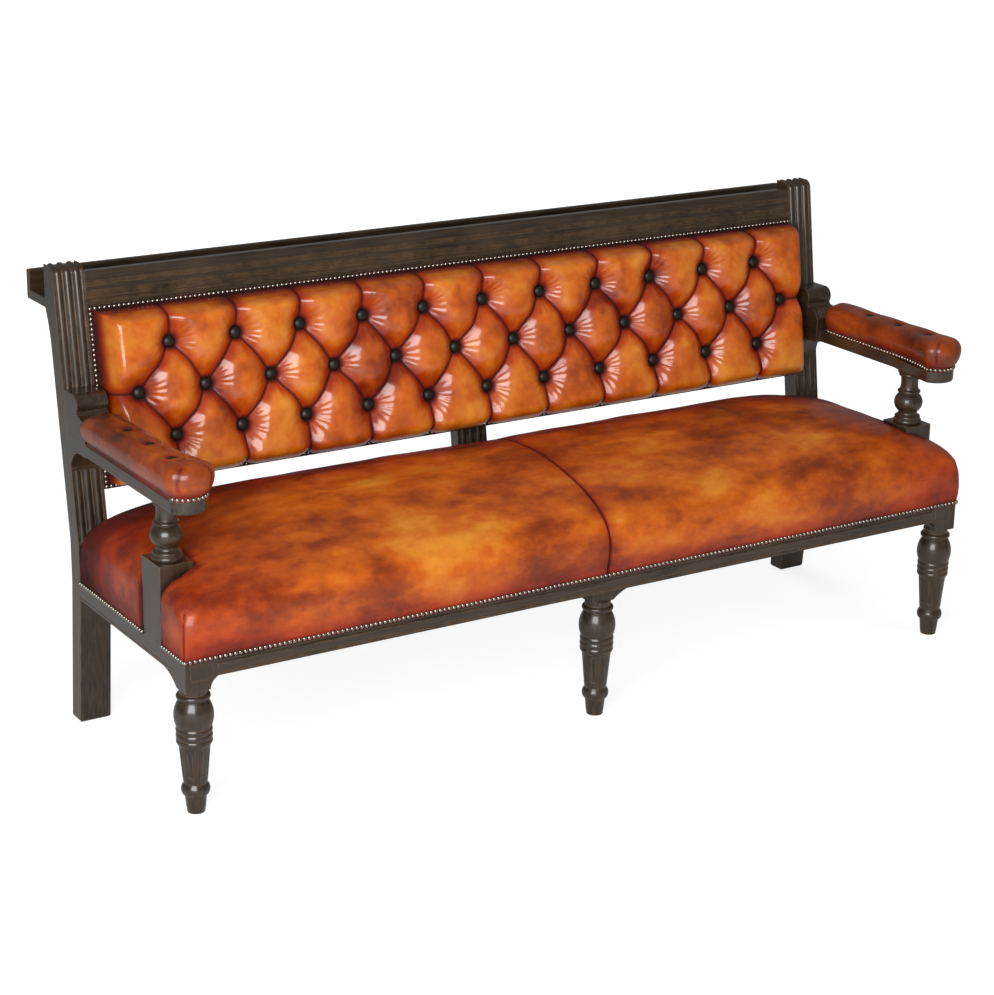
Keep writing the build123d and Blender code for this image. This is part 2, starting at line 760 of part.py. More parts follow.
for side, side_name in zip(sides, side_names):
    outer_x = side * half_length
    wide_x = side * (half_length - support_width)
    thin_x = side * (half_length - support_waist)
    with BuildPart() as arm_support:
        with BuildSketch(Plane.XZ.offset(-support_front)) as profile:
            with BuildLine():
                hollow = swell_point((thin_x, support_curve_bottom), (wide_x, support_shoulder),
                                     side * support_curve_hollow)
                ThreePointArc((thin_x, support_curve_bottom), hollow, (wide_x, support_shoulder))
                Polyline((wide_x, support_shoulder), (wide_x, support_top),
                         (outer_x, support_top), (outer_x, rail_top), (thin_x, rail_top),
                         (thin_x, support_curve_bottom))
            make_face()
        extrude(profile.sketch, amount=-support_depth)
        side_block(side, side_tenon_inner, side_tenon_outer,
                   (support_front + tenon_shoulder, rail_top - stub_length),
                   (support_rear - tenon_shoulder, rail_top))
        with Locations((side * baluster_x, support_y, support_top)):
            Cylinder(spigot_radius + fit_clearance, 2 * (spigot_length + fit_clearance),
                     mode=Mode.SUBTRACT)
    finish(arm_support, f"{side_name}_arm_support")

baluster_shares = (
    (0, .92, .05), (.075, .92, 0), (.09, .84, .04), (.14, .84, 0), (.17, .68, -.04),
    (.23, .7, .32), (.57, .62, 0), (.58, .74, .05), (.63, .74, 0), (.65, .64, -.04),
    (.88, .62, 0), (.9, .72, .04), (.95, .72, 0), (.96, .82, .03), (1, .82, 0))
with BuildPart() as turned_baluster:
    revolve(turned_profile(baluster_shares, baluster_height, baluster_radius), axis=Axis.Z)
    with Locations((0, 0, baluster_height / 2)):
        Cylinder(spigot_radius, baluster_height + 2 * spigot_length)
for side, side_name in zip(sides, side_names):
    with BuildPart() as arm_baluster:
        with Locations((side * baluster_x, support_y, support_top)):
            add(turned_baluster.part)
    finish(arm_baluster, f"{side_name}_arm_baluster")

# Arms: a waisted rest with a bowed nose, and a scrolled block dowelled to the post
roll_y = back_y(arm_roll_height) - arm_roll_forward
notch = (roll_y - arm_roll_radius, arm_top + arm_slope_rise)
slope_foot = (notch[0] - arm_slope_run, arm_top + arm_slope_foot)
roll_top = arm_roll_height + arm_roll_radius
corbel_bottom = arm_bottom - arm_corbel_radius
corbel_front = back_y(corbel_bottom)
nose_y = front_y + arm_nose_setback
roll_share = .8
slope_hollow_share = .12
round_share = 1 - .5 ** .5


# The outline of the arm in plan, let out or drawn in evenly by grow; a pad has a
# rounded corner at its rear
def arm_outline(plane, side, grow, rear, rear_round=0):
    bow = arm_nose_bow * (arm_nose_width + 2 * grow) / arm_nose_width
    outer = half_length + grow
    nose_inner = half_length - arm_nose_width - grow
    waist = half_length - arm_waist - grow
    tip = nose_y - grow
    corner = tip + bow
    flare = (side * waist, nose_y + arm_nose_bow + arm_flare_length)
    with BuildSketch(plane) as outline:
        with BuildLine():
            Line((side * outer, rear), (side * outer, corner))
            ThreePointArc((side * outer, corner), (side * (outer + nose_inner) / 2, tip),
                          (side * nose_inner, corner))
            hollow = swell_point((side * nose_inner, corner), flare, -side * arm_flare_hollow)
            ThreePointArc((side * nose_inner, corner), hollow, flare)
            Line(flare, (side * waist, rear - rear_round))
            if rear_round:
                corner_run = (outer - waist) / 2
                middle = (side * (waist + round_share * corner_run),
                          rear - round_share * rear_round)
                ThreePointArc((side * waist, rear - rear_round), middle,
                              (side * (waist + corner_run), rear))
                Line((side * (waist + corner_run), rear), (side * outer, rear))
            else:
                Line((side * waist, rear), (side * outer, rear))
        make_face()
    return outline.sketch


# The scrolled block from the side: corbel below, reeded slope and roll above
def scroll_profile(x):
    roll_side = (roll_y - arm_roll_radius * roll_share,
                 arm_roll_height - arm_roll_radius * (1 - roll_share ** 2) ** .5)
    corbel_swell = -arm_corbel_radius * (2 ** .5 - 1) / 2 ** .5
    slope_run = hypot(notch[0] - slope_foot[0], notch[1] - slope_foot[1])
    with BuildSketch(side_section(x)) as profile:
        with BuildLine():
            Line((corbel_front, corbel_bottom), (back_y(roll_top), roll_top))
            Line((back_y(roll_top), roll_top), (roll_y, roll_top))
            ThreePointArc((roll_y, roll_top), (roll_y - arm_roll_radius, arm_roll_height),
                          roll_side)
            Line(roll_side, notch)
            hollow = swell_point(notch, slope_foot, slope_hollow_share * slope_run)
            ThreePointArc(notch, hollow, slope_foot)
            corbel_start = (corbel_front - arm_corbel_radius, arm_bottom)
            Polyline(slope_foot, (slope_foot[0], arm_bottom), corbel_start)
            hollow = swell_point(corbel_start, (corbel_front, corbel_bottom), corbel_swell)
            ThreePointArc(corbel_start, hollow, (corbel_front, corbel_bottom))
        make_face()
    return profile.sketch


# A thin groove that follows the slope, one between each two reeds
def slope_groove(x):
    slope_run = hypot(notch[0] - slope_foot[0], notch[1] - slope_foot[1])
    with BuildSketch(side_section(x - arm_reed_radius / 4)) as groove:
        with BuildLine():
            hollow = swell_point(notch, slope_foot, slope_hollow_share * slope_run)
            deep = (hollow[0], hollow[1] - arm_reed_radius)
            ThreePointArc(notch, deep, slope_foot)
            Polyline(slope_foot, (slope_foot[0], notch[1]), notch)
        make_face()
    return groove.sketch


for side, side_name in zip(sides, side_names):
    with BuildPart() as arm:
        extrude(arm_outline(Plane.XY.offset(arm_bottom), side, 0, slope_foot[0]),
                amount=arm_thickness)
        fillet(arm.edges().group_by(Axis.Z)[0], radius=arm_edge_radius)
        start_x = min(side * post_inner, side * half_length)
        extrude(scroll_profile(start_x), amount=post_width)
        for i in range(arm_reed_count - 1):
            place = (i - arm_reed_count / 2 + 1) * arm_reed_pitch
            extrude(slope_groove(side * arm_dowel_x + place), amount=arm_reed_radius / 2,
                    mode=Mode.SUBTRACT)
        for height in arm_dowel_heights:
            with Locations(Location((side * arm_dowel_x, back_y(height), height), (90, 0, 0))):
                Cylinder(dowel_radius + fit_clearance, dowel_length + 2 * fit_clearance,
                         mode=Mode.SUBTRACT)
        with Locations((side * baluster_x, support_y, arm_bottom)):
            Cylinder(spigot_radius + fit_clearance, 2 * (spigot_length + fit_clearance),
                     mode=Mode.SUBTRACT)
    finish(arm, f"{side_name}_arm")

with BuildPart() as arm_dowels:
    for side in sides:
        for height in arm_dowel_heights:
            with Locations(Location((side * arm_dowel_x, back_y(height), height), (90, 0, 0))):
                Cylinder(dowel_radius, dowel_length)
finish(arm_dowels, "arm_dowels")


# A domed head that stands on a plane: a nail or a covered button
def dome(radius, height):
    sphere_radius = (radius ** 2 + height ** 2) / (2 * height)
    half_angle = asin(radius / sphere_radius) / 2
    middle = (sphere_radius * sin(half_angle),
              height - sphere_radius * (1 - cos(half_angle)))
    with BuildPart() as head:
        with BuildSketch(Plane.XZ) as profile:
            with BuildLine():
                Polyline((0, height), (0, 0), (radius, 0))
                ThreePointArc((radius, 0), middle, (0, height))
            make_face()
        revolve(profile.sketch, axis=Axis.Z)
    return head.part


nail = dome(nail_radius, nail_height)


# Planes for the nails along an edge, facing away from a middle point
def nail_planes(edge, middle):
    count = round(edge.length / nail_pitch)
    planes = []
    for i in range(count):
        share = (i + .5) / count
        along = edge.tangent_at(share)
        away = along.cross(Vector(0, 0, 1))
        if away.dot(edge.position_at(share) - middle) < 0:
            away = -away
        planes.append(Plane(origin=edge.position_at(share), x_dir=along, z_dir=away))
    return planes


# Arm pads: a straight border for the nails, and a swelled crown with tufts
pad_rear = slope_foot[0] - pad_rear_gap
pad_shares = ((0, 0), (.1, .4), (.22, .7), (.36, .93), (.52, 1), (.66, .88), (.78, .5),
              (.88, -.05), (.95, -.7), (1, -1.6))
pad_button_places = [front_y + pad_button_setback + i * pad_button_pitch
                     for i in range(pad_button_count)]
pad_button_x = half_length - arm_waist / 2 - button_pocket
pad_button_z = arm_top + pad_height - pad_dimple_depth
dimple_radius = (pad_dimple_radius ** 2 + pad_dimple_depth ** 2) / (2 * pad_dimple_depth)

for side, side_name in zip(sides, side_names):
    with BuildPart() as arm_pad:
        extrude(arm_outline(Plane.XY.offset(arm_top), side, 0, pad_rear, pad_rear_round),
                amount=pad_border)
        for rise, grow in pad_shares:
            plane = Plane.XY.offset(arm_top + pad_border + rise * (pad_height - pad_border))
            rear = pad_rear + min(grow, 0) * pad_swell
            add(arm_outline(plane, side, grow * pad_swell, rear, pad_rear_round))
        loft(ruled=True)
        for y in pad_button_places:
            with Locations((side * pad_button_x, y, pad_button_z + dimple_radius)):
                Sphere(dimple_radius, mode=Mode.SUBTRACT)
            with Locations((side * pad_button_x, y, pad_button_z)):
                Cylinder(pad_button_radius + soft_clearance, 2 * button_pocket,
                         mode=Mode.SUBTRACT)
    finish(arm_pad, f"{side_name}_arm_pad")
    with BuildPart() as arm_buttons:
        places = [(side * pad_button_x, y, pad_button_z - button_pocket)
                  for y in pad_button_places]
        with Locations(*places):
            add(dome(pad_button_radius, pad_button_height))
    finish(arm_buttons, f"{side_name}_arm_buttons")
    edge_line = arm_outline(Plane.XY.offset(arm_top + pad_border / 2), side, 0, pad_rear,
                            pad_rear_round)
    middle = Vector(side * baluster_x, support_y, arm_top)
    # No nails show on the outer side, or against the scroll behind the pad
    edges = [edge for edge in edge_line.edges() if edge.center().Y < pad_rear - cut_overrun
             and side * edge.center().X < half_length - cut_overrun]
    planes = [plane for edge in edges for plane in nail_planes(edge, middle)]
    with BuildPart() as arm_nails:
        with Locations(*planes):
            add(nail)
    finish(arm_nails, f"{side_name}_arm_nails")

# The seat cushion: a row holds height, bulge, draw-in at front, rear and sides, corner
seat_shares = (
    (0, .08, 0, 0, 0, .06), (.211, .8, 0, 0, 0, .093), (.406, 1, 0, 0, 0, .127),
    (.572, .2, .027, .0127, 0, .19), (.711, 0, .143, .051, .038, .295),
    (.822, 0, .304, .106, .104, .4), (.922, 0, .502, .219, .213, .464),
    (.978, 0, .692, .367, .344, .42), (1, 0, .861, .536, .508, .278))
seat_half_depth = seat_depth / 2
seat_middle = front_y + seat_half_depth
seat_rise = seat_crown - rail_top
seat_rows = []
for rise, bulge, front, rear, draw, corner in seat_shares:
    seat_rows.append((rail_top + rise * seat_rise,
                      half_length * (1 - draw) + bulge * side_swell,
                      front_y - bulge * seat_swell + front * seat_half_depth,
                      post_front - seat_rear_gap - rear * seat_half_depth,
                      corner * seat_half_depth))
border_reach = half_length + border_thickness
border_front = front_y - border_thickness
seat_rear = post_front - seat_rear_gap
support_gap = (support_front - soft_clearance, support_rear + soft_clearance)


def toward_seat_middle(y, z):
    reach = hypot(y - seat_middle, z - rail_top)
    return (y - (y - seat_middle) / reach * seat_seam_depth,
            z - (z - rail_top) / reach * seat_seam_depth)


with BuildPart() as seat_cushion:
    for z, half_width, row_front, row_rear, corner in seat_rows:
        with BuildSketch(Plane.XY.offset(z)):
            with Locations((0, (row_front + row_rear) / 2)):
                RectangleRounded(2 * half_width, row_rear - row_front, corner)
    loft(ruled=True)
    # The nailed border hangs over the faces of the front and side rails
    block((-border_reach, border_front, rail_top - leather_border),
          (border_reach, seat_rear, rail_top + border_thickness))
    block((-half_length, front_y, rail_top - leather_border - cut_overrun),
          (half_length, seat_rear + cut_overrun, rail_top), Mode.SUBTRACT)
    # The hollow over the springs, and the places of the arm supports
    block((seat_side_wall - half_length, front_y + seat_front_wall, rail_top - cut_overrun),
          (half_length - seat_side_wall, seat_rear - seat_rear_wall, seat_cavity_top),
          Mode.SUBTRACT)
    for side in sides:
        for width, low in ((support_width, support_curve_bottom), (support_waist, rail_bottom)):
            side_block(side, half_length - width - soft_clearance, half_length + post_width,
                       (support_gap[0], low - soft_clearance),
                       (support_gap[1], seat_crown), Mode.SUBTRACT)
    # The sewn seam across the middle
    with BuildSketch(side_section(-seat_seam_width / 2)) as seam:
        with Locations((seat_middle, rail_top + seat_rise / 2)):
            Rectangle(bench_depth, seat_rise + 2 * cut_overrun)
        with BuildLine():
            front_line = [toward_seat_middle(row[2], row[0]) for row in seat_rows]
            rear_line = [toward_seat_middle(row[3], row[0]) for row in seat_rows]
            Polyline(*front_line, *reversed(rear_line), (rear_line[0][0], rail_bottom),
                     (front_line[0][0], rail_bottom), close=True)
        make_face(mode=Mode.SUBTRACT)
    extrude(seam.sketch, amount=seat_seam_width, mode=Mode.SUBTRACT)
finish(seat_cushion, "seat_cushion")

# Nails along the border of the seat, on the front and on both sides of each support
nail_z = rail_top - leather_border / 2
with BuildPart() as seat_nails:
    with BuildLine() as nail_line:
        Line((-half_length, border_front, nail_z), (half_length, border_front, nail_z))
        for side in sides:
            Line((side * border_reach, front_y, nail_z),
                 (side * border_reach, support_gap[0], nail_z))
            Line((side * border_reach, support_gap[1], nail_z),
                 (side * border_reach, seat_rear, nail_z))
    middle = Vector(0, seat_middle, nail_z)
    with Locations(*[plane for edge in nail_line.edges()
                     for plane in nail_planes(edge, middle)]):
        add(nail)
finish(seat_nails, "seat_nails")

# Webbing, coil springs and cloths of the seat
web_middle = (rail_back + rear_rail_front) / 2
web_places = [(i - (web_count - 1) / 2) * web_pitch for i in range(web_count)]
spring_rows = [web_middle + side * spring_row_gap / 2 for side in sides]
web_bottom = rail_bottom - web_thickness
hessian_bottom = seat_cavity_top - soft_clearance - cloth_thickness

with BuildPart() as seat_webbing:
    for x in web_places:
        block((x - web_width / 2, rail_back - web_lap, web_bottom),
              (x + web_width / 2, rear_rail_front + web_lap, rail_bottom))
    for y in spring_rows:
        reach = half_length - rail_thickness + web_lap
        block((-reach, y - web_width / 2, web_bottom), (reach, y + web_width / 2, rail_bottom))
finish(seat_webbing, "seat_webbing")

with BuildPart() as coil:
    low = rail_bottom + spring_wire
    rise = (hessian_bottom - spring_wire - low) / (2 * spring_turns)
    with BuildLine() as coil_line:
        for i in range(2 * spring_turns):
            turn = 1 - 2 * (i % 2)
            ThreePointArc((turn * spring_radius, 0, low + i * rise),
                          (0, turn * spring_radius, low + (i + .5) * rise),
                          (-turn * spring_radius, 0, low + (i + 1) * rise))
    with BuildSketch(Plane(origin=coil_line.line @ 0, z_dir=coil_line.line % 0)):
        Circle(spring_wire)
    sweep(path=coil_line.line)
with BuildPart() as seat_springs:
    with Locations(*[(x, y, 0) for x in web_places for y in spring_rows]):
        add(coil.part)
finish(seat_springs, "seat_springs")

with BuildPart() as seat_hessian:
    reach = half_length - seat_side_wall - soft_clearance
    block((-reach, front_y + seat_front_wall + soft_clearance, hessian_bottom),
          (reach, seat_rear - seat_rear_wall - soft_clearance, hessian_bottom + cloth_thickness))
finish(seat_hessian, "seat_hessian")

with BuildPart() as dust_cover:
    reach = half_length - side_bracket_thickness - soft_clearance
    cloth_front = rail_back - web_lap
    block((-reach, cloth_front, web_bottom - cloth_thickness),
          (reach, rear_rail_front + web_lap, web_bottom))
    below = web_bottom - cloth_thickness - cut_overrun
    above = web_bottom + cut_overrun
    for side in sides:
        side_block(side, half_length - leg_block_width - soft_clearance, half_length,
                   (cloth_front - cut_overrun, below),
                   (front_y + leg_neck_depth + soft_clearance, above), Mode.SUBTRACT)
    block((-leg_neck_width / 2 - soft_clearance, cloth_front - cut_overrun, below),
          (leg_neck_width / 2 + soft_clearance,
           centre_block_y + leg_neck_depth + soft_clearance, above), Mode.SUBTRACT)
finish(dust_cover, "dust_cover")

# The buttoned back: a border, a padded slab and a pillow between each group of buttons
slab_half = post_inner - back_border
slab_low = panel_bottom + back_border
slab_high = panel_top - back_border
slab_middle = (slab_low + slab_high) / 2
pocket_depth = web_thickness + cloth_thickness + soft_clearance
slab_shares = ((0, -1), (.45, 0), (1, -.5))
pillow_shares = ((0, 1), (.5, .9), (.85, .7), (1, .4))
button_rows = [button_middle_row + i * button_row_gap for i in (1, 0, -1)]
button_half = (button_columns - 1) / 2
button_sets = (button_columns, button_columns + 1, button_columns)
button_places = [((i - (count - 1) / 2) * button_pitch, row)
                 for row, count in zip(button_rows, button_sets) for i in range(count)]


# Corner points of the pillows: diamonds in the middle, and cells along both edges
def pillow_cells():
    top, centre, bottom = button_rows
    reach = slab_half - back_swell
    columns = [(i - button_half) * button_pitch for i in range(button_columns)]
    half_pitch = button_pitch / 2
    cells = [[(x, top), (x + half_pitch, centre), (x, bottom), (x - half_pitch, centre)]
             for x in columns]
    for row, edge in ((top, slab_high - back_swell), (bottom, slab_low + back_swell)):
        for x in columns[:-1]:
            cells.append([(x, row), (x, edge), (x + button_pitch, edge),
                          (x + button_pitch, row), (x + half_pitch, centre)])
        for side in sides:
            x = side * columns[-1]
            cells.append([(x, row), (x, edge), (side * reach, edge), (side * reach, centre),
                          (x + side * half_pitch, centre)])
    return cells


# The outline of a pillow at one level, drawn in from its neighbours by half a seam
def pillow_outline(points, out, share):
    middle = Vector(sum(x for x, s in points) / len(points), sum(s for x, s in points) / len(points))
    radius = min((Vector(x, s) - middle).length for x, s in points)
    scale = share * (1 - back_seam / radius)
    with BuildSketch(back_plane(out)) as outline:
        with BuildLine():
            drawn = [middle + (Vector(x, s) - middle) * scale for x, s in points]
            Polyline(*drawn, close=True)
        make_face()
    return outline.sketch


with BuildPart() as back_cushion:
    raked_block(0, 2 * (post_inner - soft_clearance), (panel_bottom, panel_top),
                border_thickness, border_thickness)
    for share, swell in slab_shares:
        with BuildSketch(back_plane(share * back_base)):
            with Locations((0, slab_middle)):
                RectangleRounded(2 * (slab_half + swell * back_swell),
                                 slab_high - slab_low + 2 * swell * back_swell,
                                 back_corner_radius)
    loft()
    for points in pillow_cells():
        with BuildPart(mode=Mode.PRIVATE) as pillow:
            for rise, share in pillow_shares:
                out = back_base - cut_overrun + rise * (back_crest - back_base + cut_overrun)
                add(pillow_outline(points, out, share))
            loft()
        add(pillow.part)
    with Locations(back_plane(back_base - button_pocket)):
        with Locations(*button_places):
            Cylinder(button_radius + soft_clearance, back_crest,
                     align=(Align.CENTER, Align.CENTER, Align.MIN), mode=Mode.SUBTRACT)
    pocket = back_swell + back_pocket_inset
    raked_block(0, 2 * (slab_half - pocket), (slab_low + pocket, slab_high - pocket),
                pocket_depth, pocket_depth + cut_overrun, Mode.SUBTRACT)
finish(back_cushion, "back_cushion")

with BuildPart() as back_buttons:
    with Locations(back_plane(back_base - button_pocket)):
        with Locations(*button_places):
            add(dome(button_radius, button_height))
finish(back_buttons, "back_buttons")

nail_reach = post_inner - nail_inset
nail_reaches = (panel_bottom + nail_inset, panel_top - nail_inset)
row_count = round(2 * nail_reach / nail_pitch)
column_count = round((nail_reaches[1] - nail_reaches[0]) / nail_pitch)
nail_places = [((i / row_count * 2 - 1) * nail_reach, s)
               for s in nail_reaches for i in range(row_count + 1)]
for i in range(1, column_count):
    height = nail_reaches[0] + i / column_count * (nail_reaches[1] - nail_reaches[0])
    nail_places += [(side * nail_reach, height) for side in sides]
with BuildPart() as back_nails:
    with Locations(back_plane(border_thickness)):
        with Locations(*nail_places):
            add(nail)
finish(back_nails, "back_nails")

# Webbing and hessian inside the back cushion, and the cloth behind the frame
with BuildPart() as back_webbing:
    for i in range(back_web_count):
        x = (i - (back_web_count - 1) / 2) * back_web_pitch
        raked_block(x, web_width, (slab_low + pocket, slab_high - pocket), web_thickness,
                    web_thickness)
finish(back_webbing, "back_webbing")

with BuildPart() as back_hessian:
    raked_block(0, 2 * (slab_half - pocket - soft_clearance),
                (slab_low + pocket + soft_clearance, slab_high - pocket - soft_clearance),
                web_thickness + cloth_thickness, cloth_thickness)
finish(back_hessian, "back_hessian")

with BuildPart() as outside_back:
    cloth_top = slope_at(ledge_bottom, -back_frame_thickness) - tenon_shoulder
    raked_block(0, 2 * (post_inner - soft_clearance), (panel_bottom + tenon_shoulder, cloth_top),
                -back_frame_thickness, cloth_thickness)
finish(outside_back, "outside_back")
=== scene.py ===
import math
import bpy
import numpy as np
from mathutils import Matrix, Vector


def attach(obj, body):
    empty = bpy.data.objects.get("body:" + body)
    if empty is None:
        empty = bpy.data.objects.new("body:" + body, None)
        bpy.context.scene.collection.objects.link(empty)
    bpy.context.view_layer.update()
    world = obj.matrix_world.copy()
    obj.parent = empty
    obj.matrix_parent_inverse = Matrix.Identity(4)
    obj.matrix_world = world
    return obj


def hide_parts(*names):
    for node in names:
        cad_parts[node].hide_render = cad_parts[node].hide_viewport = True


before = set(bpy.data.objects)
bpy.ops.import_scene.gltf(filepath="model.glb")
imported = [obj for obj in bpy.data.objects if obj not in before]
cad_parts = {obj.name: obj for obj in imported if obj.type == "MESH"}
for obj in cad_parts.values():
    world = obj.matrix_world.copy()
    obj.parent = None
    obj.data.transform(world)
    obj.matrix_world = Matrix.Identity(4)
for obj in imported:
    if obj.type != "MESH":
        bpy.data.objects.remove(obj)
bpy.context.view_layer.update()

mm = 0.001


def addObject(name, data):
    made = bpy.data.objects.new(name, data)
    bpy.context.scene.collection.objects.link(made)
    return made


# Camera at the photograph's viewing angle: metres, degrees, and millimetres of lens
camera = {
    "place": (-2.5976, -4.0215, 1.9708), "turn": -32.36, "tilt": -18.49,
    "roll": 0.894, "lens": 87.96, "sensor": 36, "farEnd": 50}


def placeCamera():
    lens = bpy.data.cameras.new("camera")
    lens.lens, lens.sensor_width = camera["lens"], camera["sensor"]
    lens.clip_end = camera["farEnd"]
    aim = Matrix.Translation(camera["place"])
    for angle, axis in ((camera["turn"], "Z"), (90 + camera["tilt"], "X"), (camera["roll"], "Z")):
        aim = aim @ Matrix.Rotation(math.radians(angle), 4, axis)
    eye = addObject("camera", lens)
    eye.matrix_world = aim
    bpy.context.scene.camera = eye


placeCamera()
print("camera placed")


# Materials
def toLinear(hexValue):
    parts = [int(hexValue[i:i + 2], 16) / 255 for i in (1, 3, 5)]
    return tuple(p / 12.92 if p <= 0.04045 else ((p + 0.055) / 1.055) ** 2.4
                 for p in parts) + (1,)


# An input takes a value, a hex colour, a socket, or a node for its first live output.
# Stops are the places on a ramp with their colours or greys.
def addNode(tree, kind, inputs=None, stops=(), **settings):
    node = tree.nodes.new(kind)
    for name, value in settings.items():
        setattr(node, name, value)
    for name, value in (inputs or {}).items():
        if isinstance(value, bpy.types.Node):
            value = next(socket for socket in value.outputs if socket.enabled)
        if isinstance(value, bpy.types.NodeSocket):
            tree.links.new(value, node.inputs[name])
        elif isinstance(value, str) and value.startswith("#"):
            node.inputs[name].default_value = toLinear(value)
        else:
            node.inputs[name].default_value = value
    if stops:
        marks = node.color_ramp.elements
        while len(marks) < len(stops):
            marks.new(0.5)
        for mark, (place, colour) in zip(marks, stops):
            mark.position = place
            mark.color = toLinear(colour) if isinstance(colour, str) else (colour,) * 3 + (1,)
    return node


def newMaterial(name):
    material = bpy.data.materials.new(name)
    material.use_nodes = True
    tree = material.node_tree
    tree.nodes.clear()
    place = addNode(tree, "ShaderNodeTexCoord").outputs["Object"]
    return material, tree, place


def finishMaterial(tree, sockets):
    shader = addNode(tree, "ShaderNodeBsdfPrincipled", sockets)
    addNode(tree, "ShaderNodeOutputMaterial", {"Surface": shader})


# Hand-dyed hide, polished: light orange on the crests, with painted shade that turns it
# red brown lower down and nearly black where it folds in. One attribute holds that
# painted shade, 0 in a fold and 1 on a crest; the other lightens the dye where the seat
# is worn and paints shade at its rear and under the arms. Sizes in metres. The
# pores are drawn a little coarse, so that they show.
leather = {
    "dyes": ((0.22, "#431805"), (0.45, "#973b08"), (0.64, "#c95e08"), (0.88, "#e18c28")),
    "foldShades": ((0.0, "#0d0402"), (0.2, "#4a1c0c"), (0.5, "#a35a3c"),
                   (0.75, "#d99a78"), (1.0, "#ffffff")),
    "polished": ((0.35, 0.0), (0.8, 1.0)), "patchSize": 0.16, "cloudSize": 0.16 / 2.7,
    "speckSize": 0.02, "specks": 0.16, "creaseSize": 1 / 30, "creaseDepth": 0.004,
    "poreSize": 0.0016, "poreDepth": 0.0006, "pores": 0.1, "cloudRough": 0.14,
    "foldRough": 0.45, "ior": 1.42}
hides = {
    "back": {"streak": (1, 1, 1), "patches": 0.95, "clouds": 0.6, "lift": -0.2,
             "rough": 0.32, "coat": 1.0, "coatRough": 0.17, "creases": 0.46},
    "seat": {"streak": (0.55, 1, 1), "patches": 1.05, "clouds": 0.8, "lift": -0.475,
             "rough": 0.42, "coat": 0.42, "coatRough": 0.2, "creases": 0.62},
    "arms": {"streak": (1, 0.6, 1), "patches": 0.9, "clouds": 0.65, "lift": -0.425,
             "rough": 0.38, "coat": 0.6, "coatRough": 0.17, "creases": 0.5}}


def makeLeather(name, hide):
    material, tree, place = newMaterial("dyed_hide_painted_shade_" + name)
    paintedShade, wearAndShade = (addNode(tree, "ShaderNodeAttribute", attribute_name=label).outputs["Fac"]
                  for label in ("paintedShade", "wearAndShade"))
    streaked = addNode(tree, "ShaderNodeMapping", {"Vector": place, "Scale": hide["streak"]})
    patches, clouds, specks, creases = (
        addNode(tree, "ShaderNodeTexNoise", {
            "Vector": where, "Scale": 1 / leather[size], "Detail": detail, "Roughness": rough})
        for where, size, detail, rough in (
            (streaked, "patchSize", 4, 0.55), (streaked, "cloudSize", 5, 0.6),
            (place, "speckSize", 3, 0.6), (place, "creaseSize", 5, 0.62)))
    tone = hide["lift"]
    for pattern, share in ((patches, hide["patches"]), (clouds, hide["clouds"]),
                           (specks, leather["specks"]), (wearAndShade, 1.0)):
        tone = addNode(tree, "ShaderNodeMath", {0: pattern, 1: share, 2: tone},
                       operation="MULTIPLY_ADD")
    dye = addNode(tree, "ShaderNodeValToRGB", {"Fac": tone}, leather["dyes"])
    # Painted shade: the dye is multiplied darker in the folds, wells and hidden faces
    shadow = addNode(tree, "ShaderNodeValToRGB", {"Fac": paintedShade}, leather["foldShades"])
    colour = addNode(tree, "ShaderNodeMix", {0: 1.0, 6: dye, 7: shadow}, data_type="RGBA",
                     blend_type="MULTIPLY")
    # The polish is rubbed onto the crests and doesn't reach the folds
    rubbed = addNode(tree, "ShaderNodeValToRGB", {"Fac": paintedShade}, leather["polished"])
    coat = addNode(tree, "ShaderNodeMath", {0: rubbed, 1: hide["coat"]}, operation="MULTIPLY")
    bare = addNode(tree, "ShaderNodeMath", {0: 1.0, 1: rubbed}, operation="SUBTRACT")
    matte = addNode(tree, "ShaderNodeValToRGB", {"Fac": clouds}, (
        (0.3, hide["rough"]), (0.7, hide["rough"] + leather["cloudRough"])))
    rough = addNode(tree, "ShaderNodeMath", {0: bare, 1: leather["foldRough"], 2: matte},
                    operation="MULTIPLY_ADD")
    creased = addNode(tree, "ShaderNodeBump", {
        "Height": creases, "Strength": hide["creases"], "Distance": leather["creaseDepth"]})
    pores = addNode(tree, "ShaderNodeTexVoronoi", {
        "Vector": place, "Scale": 1 / leather["poreSize"]})
    relief = addNode(tree, "ShaderNodeBump", {
        "Height": pores, "Strength": leather["pores"], "Distance": leather["poreDepth"],
        "Normal": creased})
    finishMaterial(tree, {
        "Base Color": colour, "Roughness": rough, "IOR": leather["ior"], "Coat Weight": coat,
        "Coat Roughness": hide["coatRough"], "Normal": relief})
    return material


# Ebonised and french polished hardwood: black brown with a warm glow where the
# polish has worn through on the edges, and a fine grain along the piece.
wood = {
    "dark": "#17100a", "light": "#40311f", "cloud": "#4a3b2b", "worn": "#8a6a48",
    "fibreShare": ((0.35, 0.0), (0.7, 1.0)), "cloudShare": ((0.4, 0.0), (0.75, 0.5)),
    "edgeTurn": ((0.82, 1.0), (0.985, 0.0)), "scuffShare": ((0.36, 0.1), (0.62, 0.9)),
    "rough": ((0.3, 0.3), (0.7, 0.46)), "grainSize": 0.0035, "grainDepth": 0.0008,
    "grain": 0.12, "stretch": 0.04, "cloudSize": 1 / 9, "scuffSize": 1 / 45,
    "wearReach": 0.0028, "coat": 0.75, "coatRough": 0.14, "ior": 1.5}


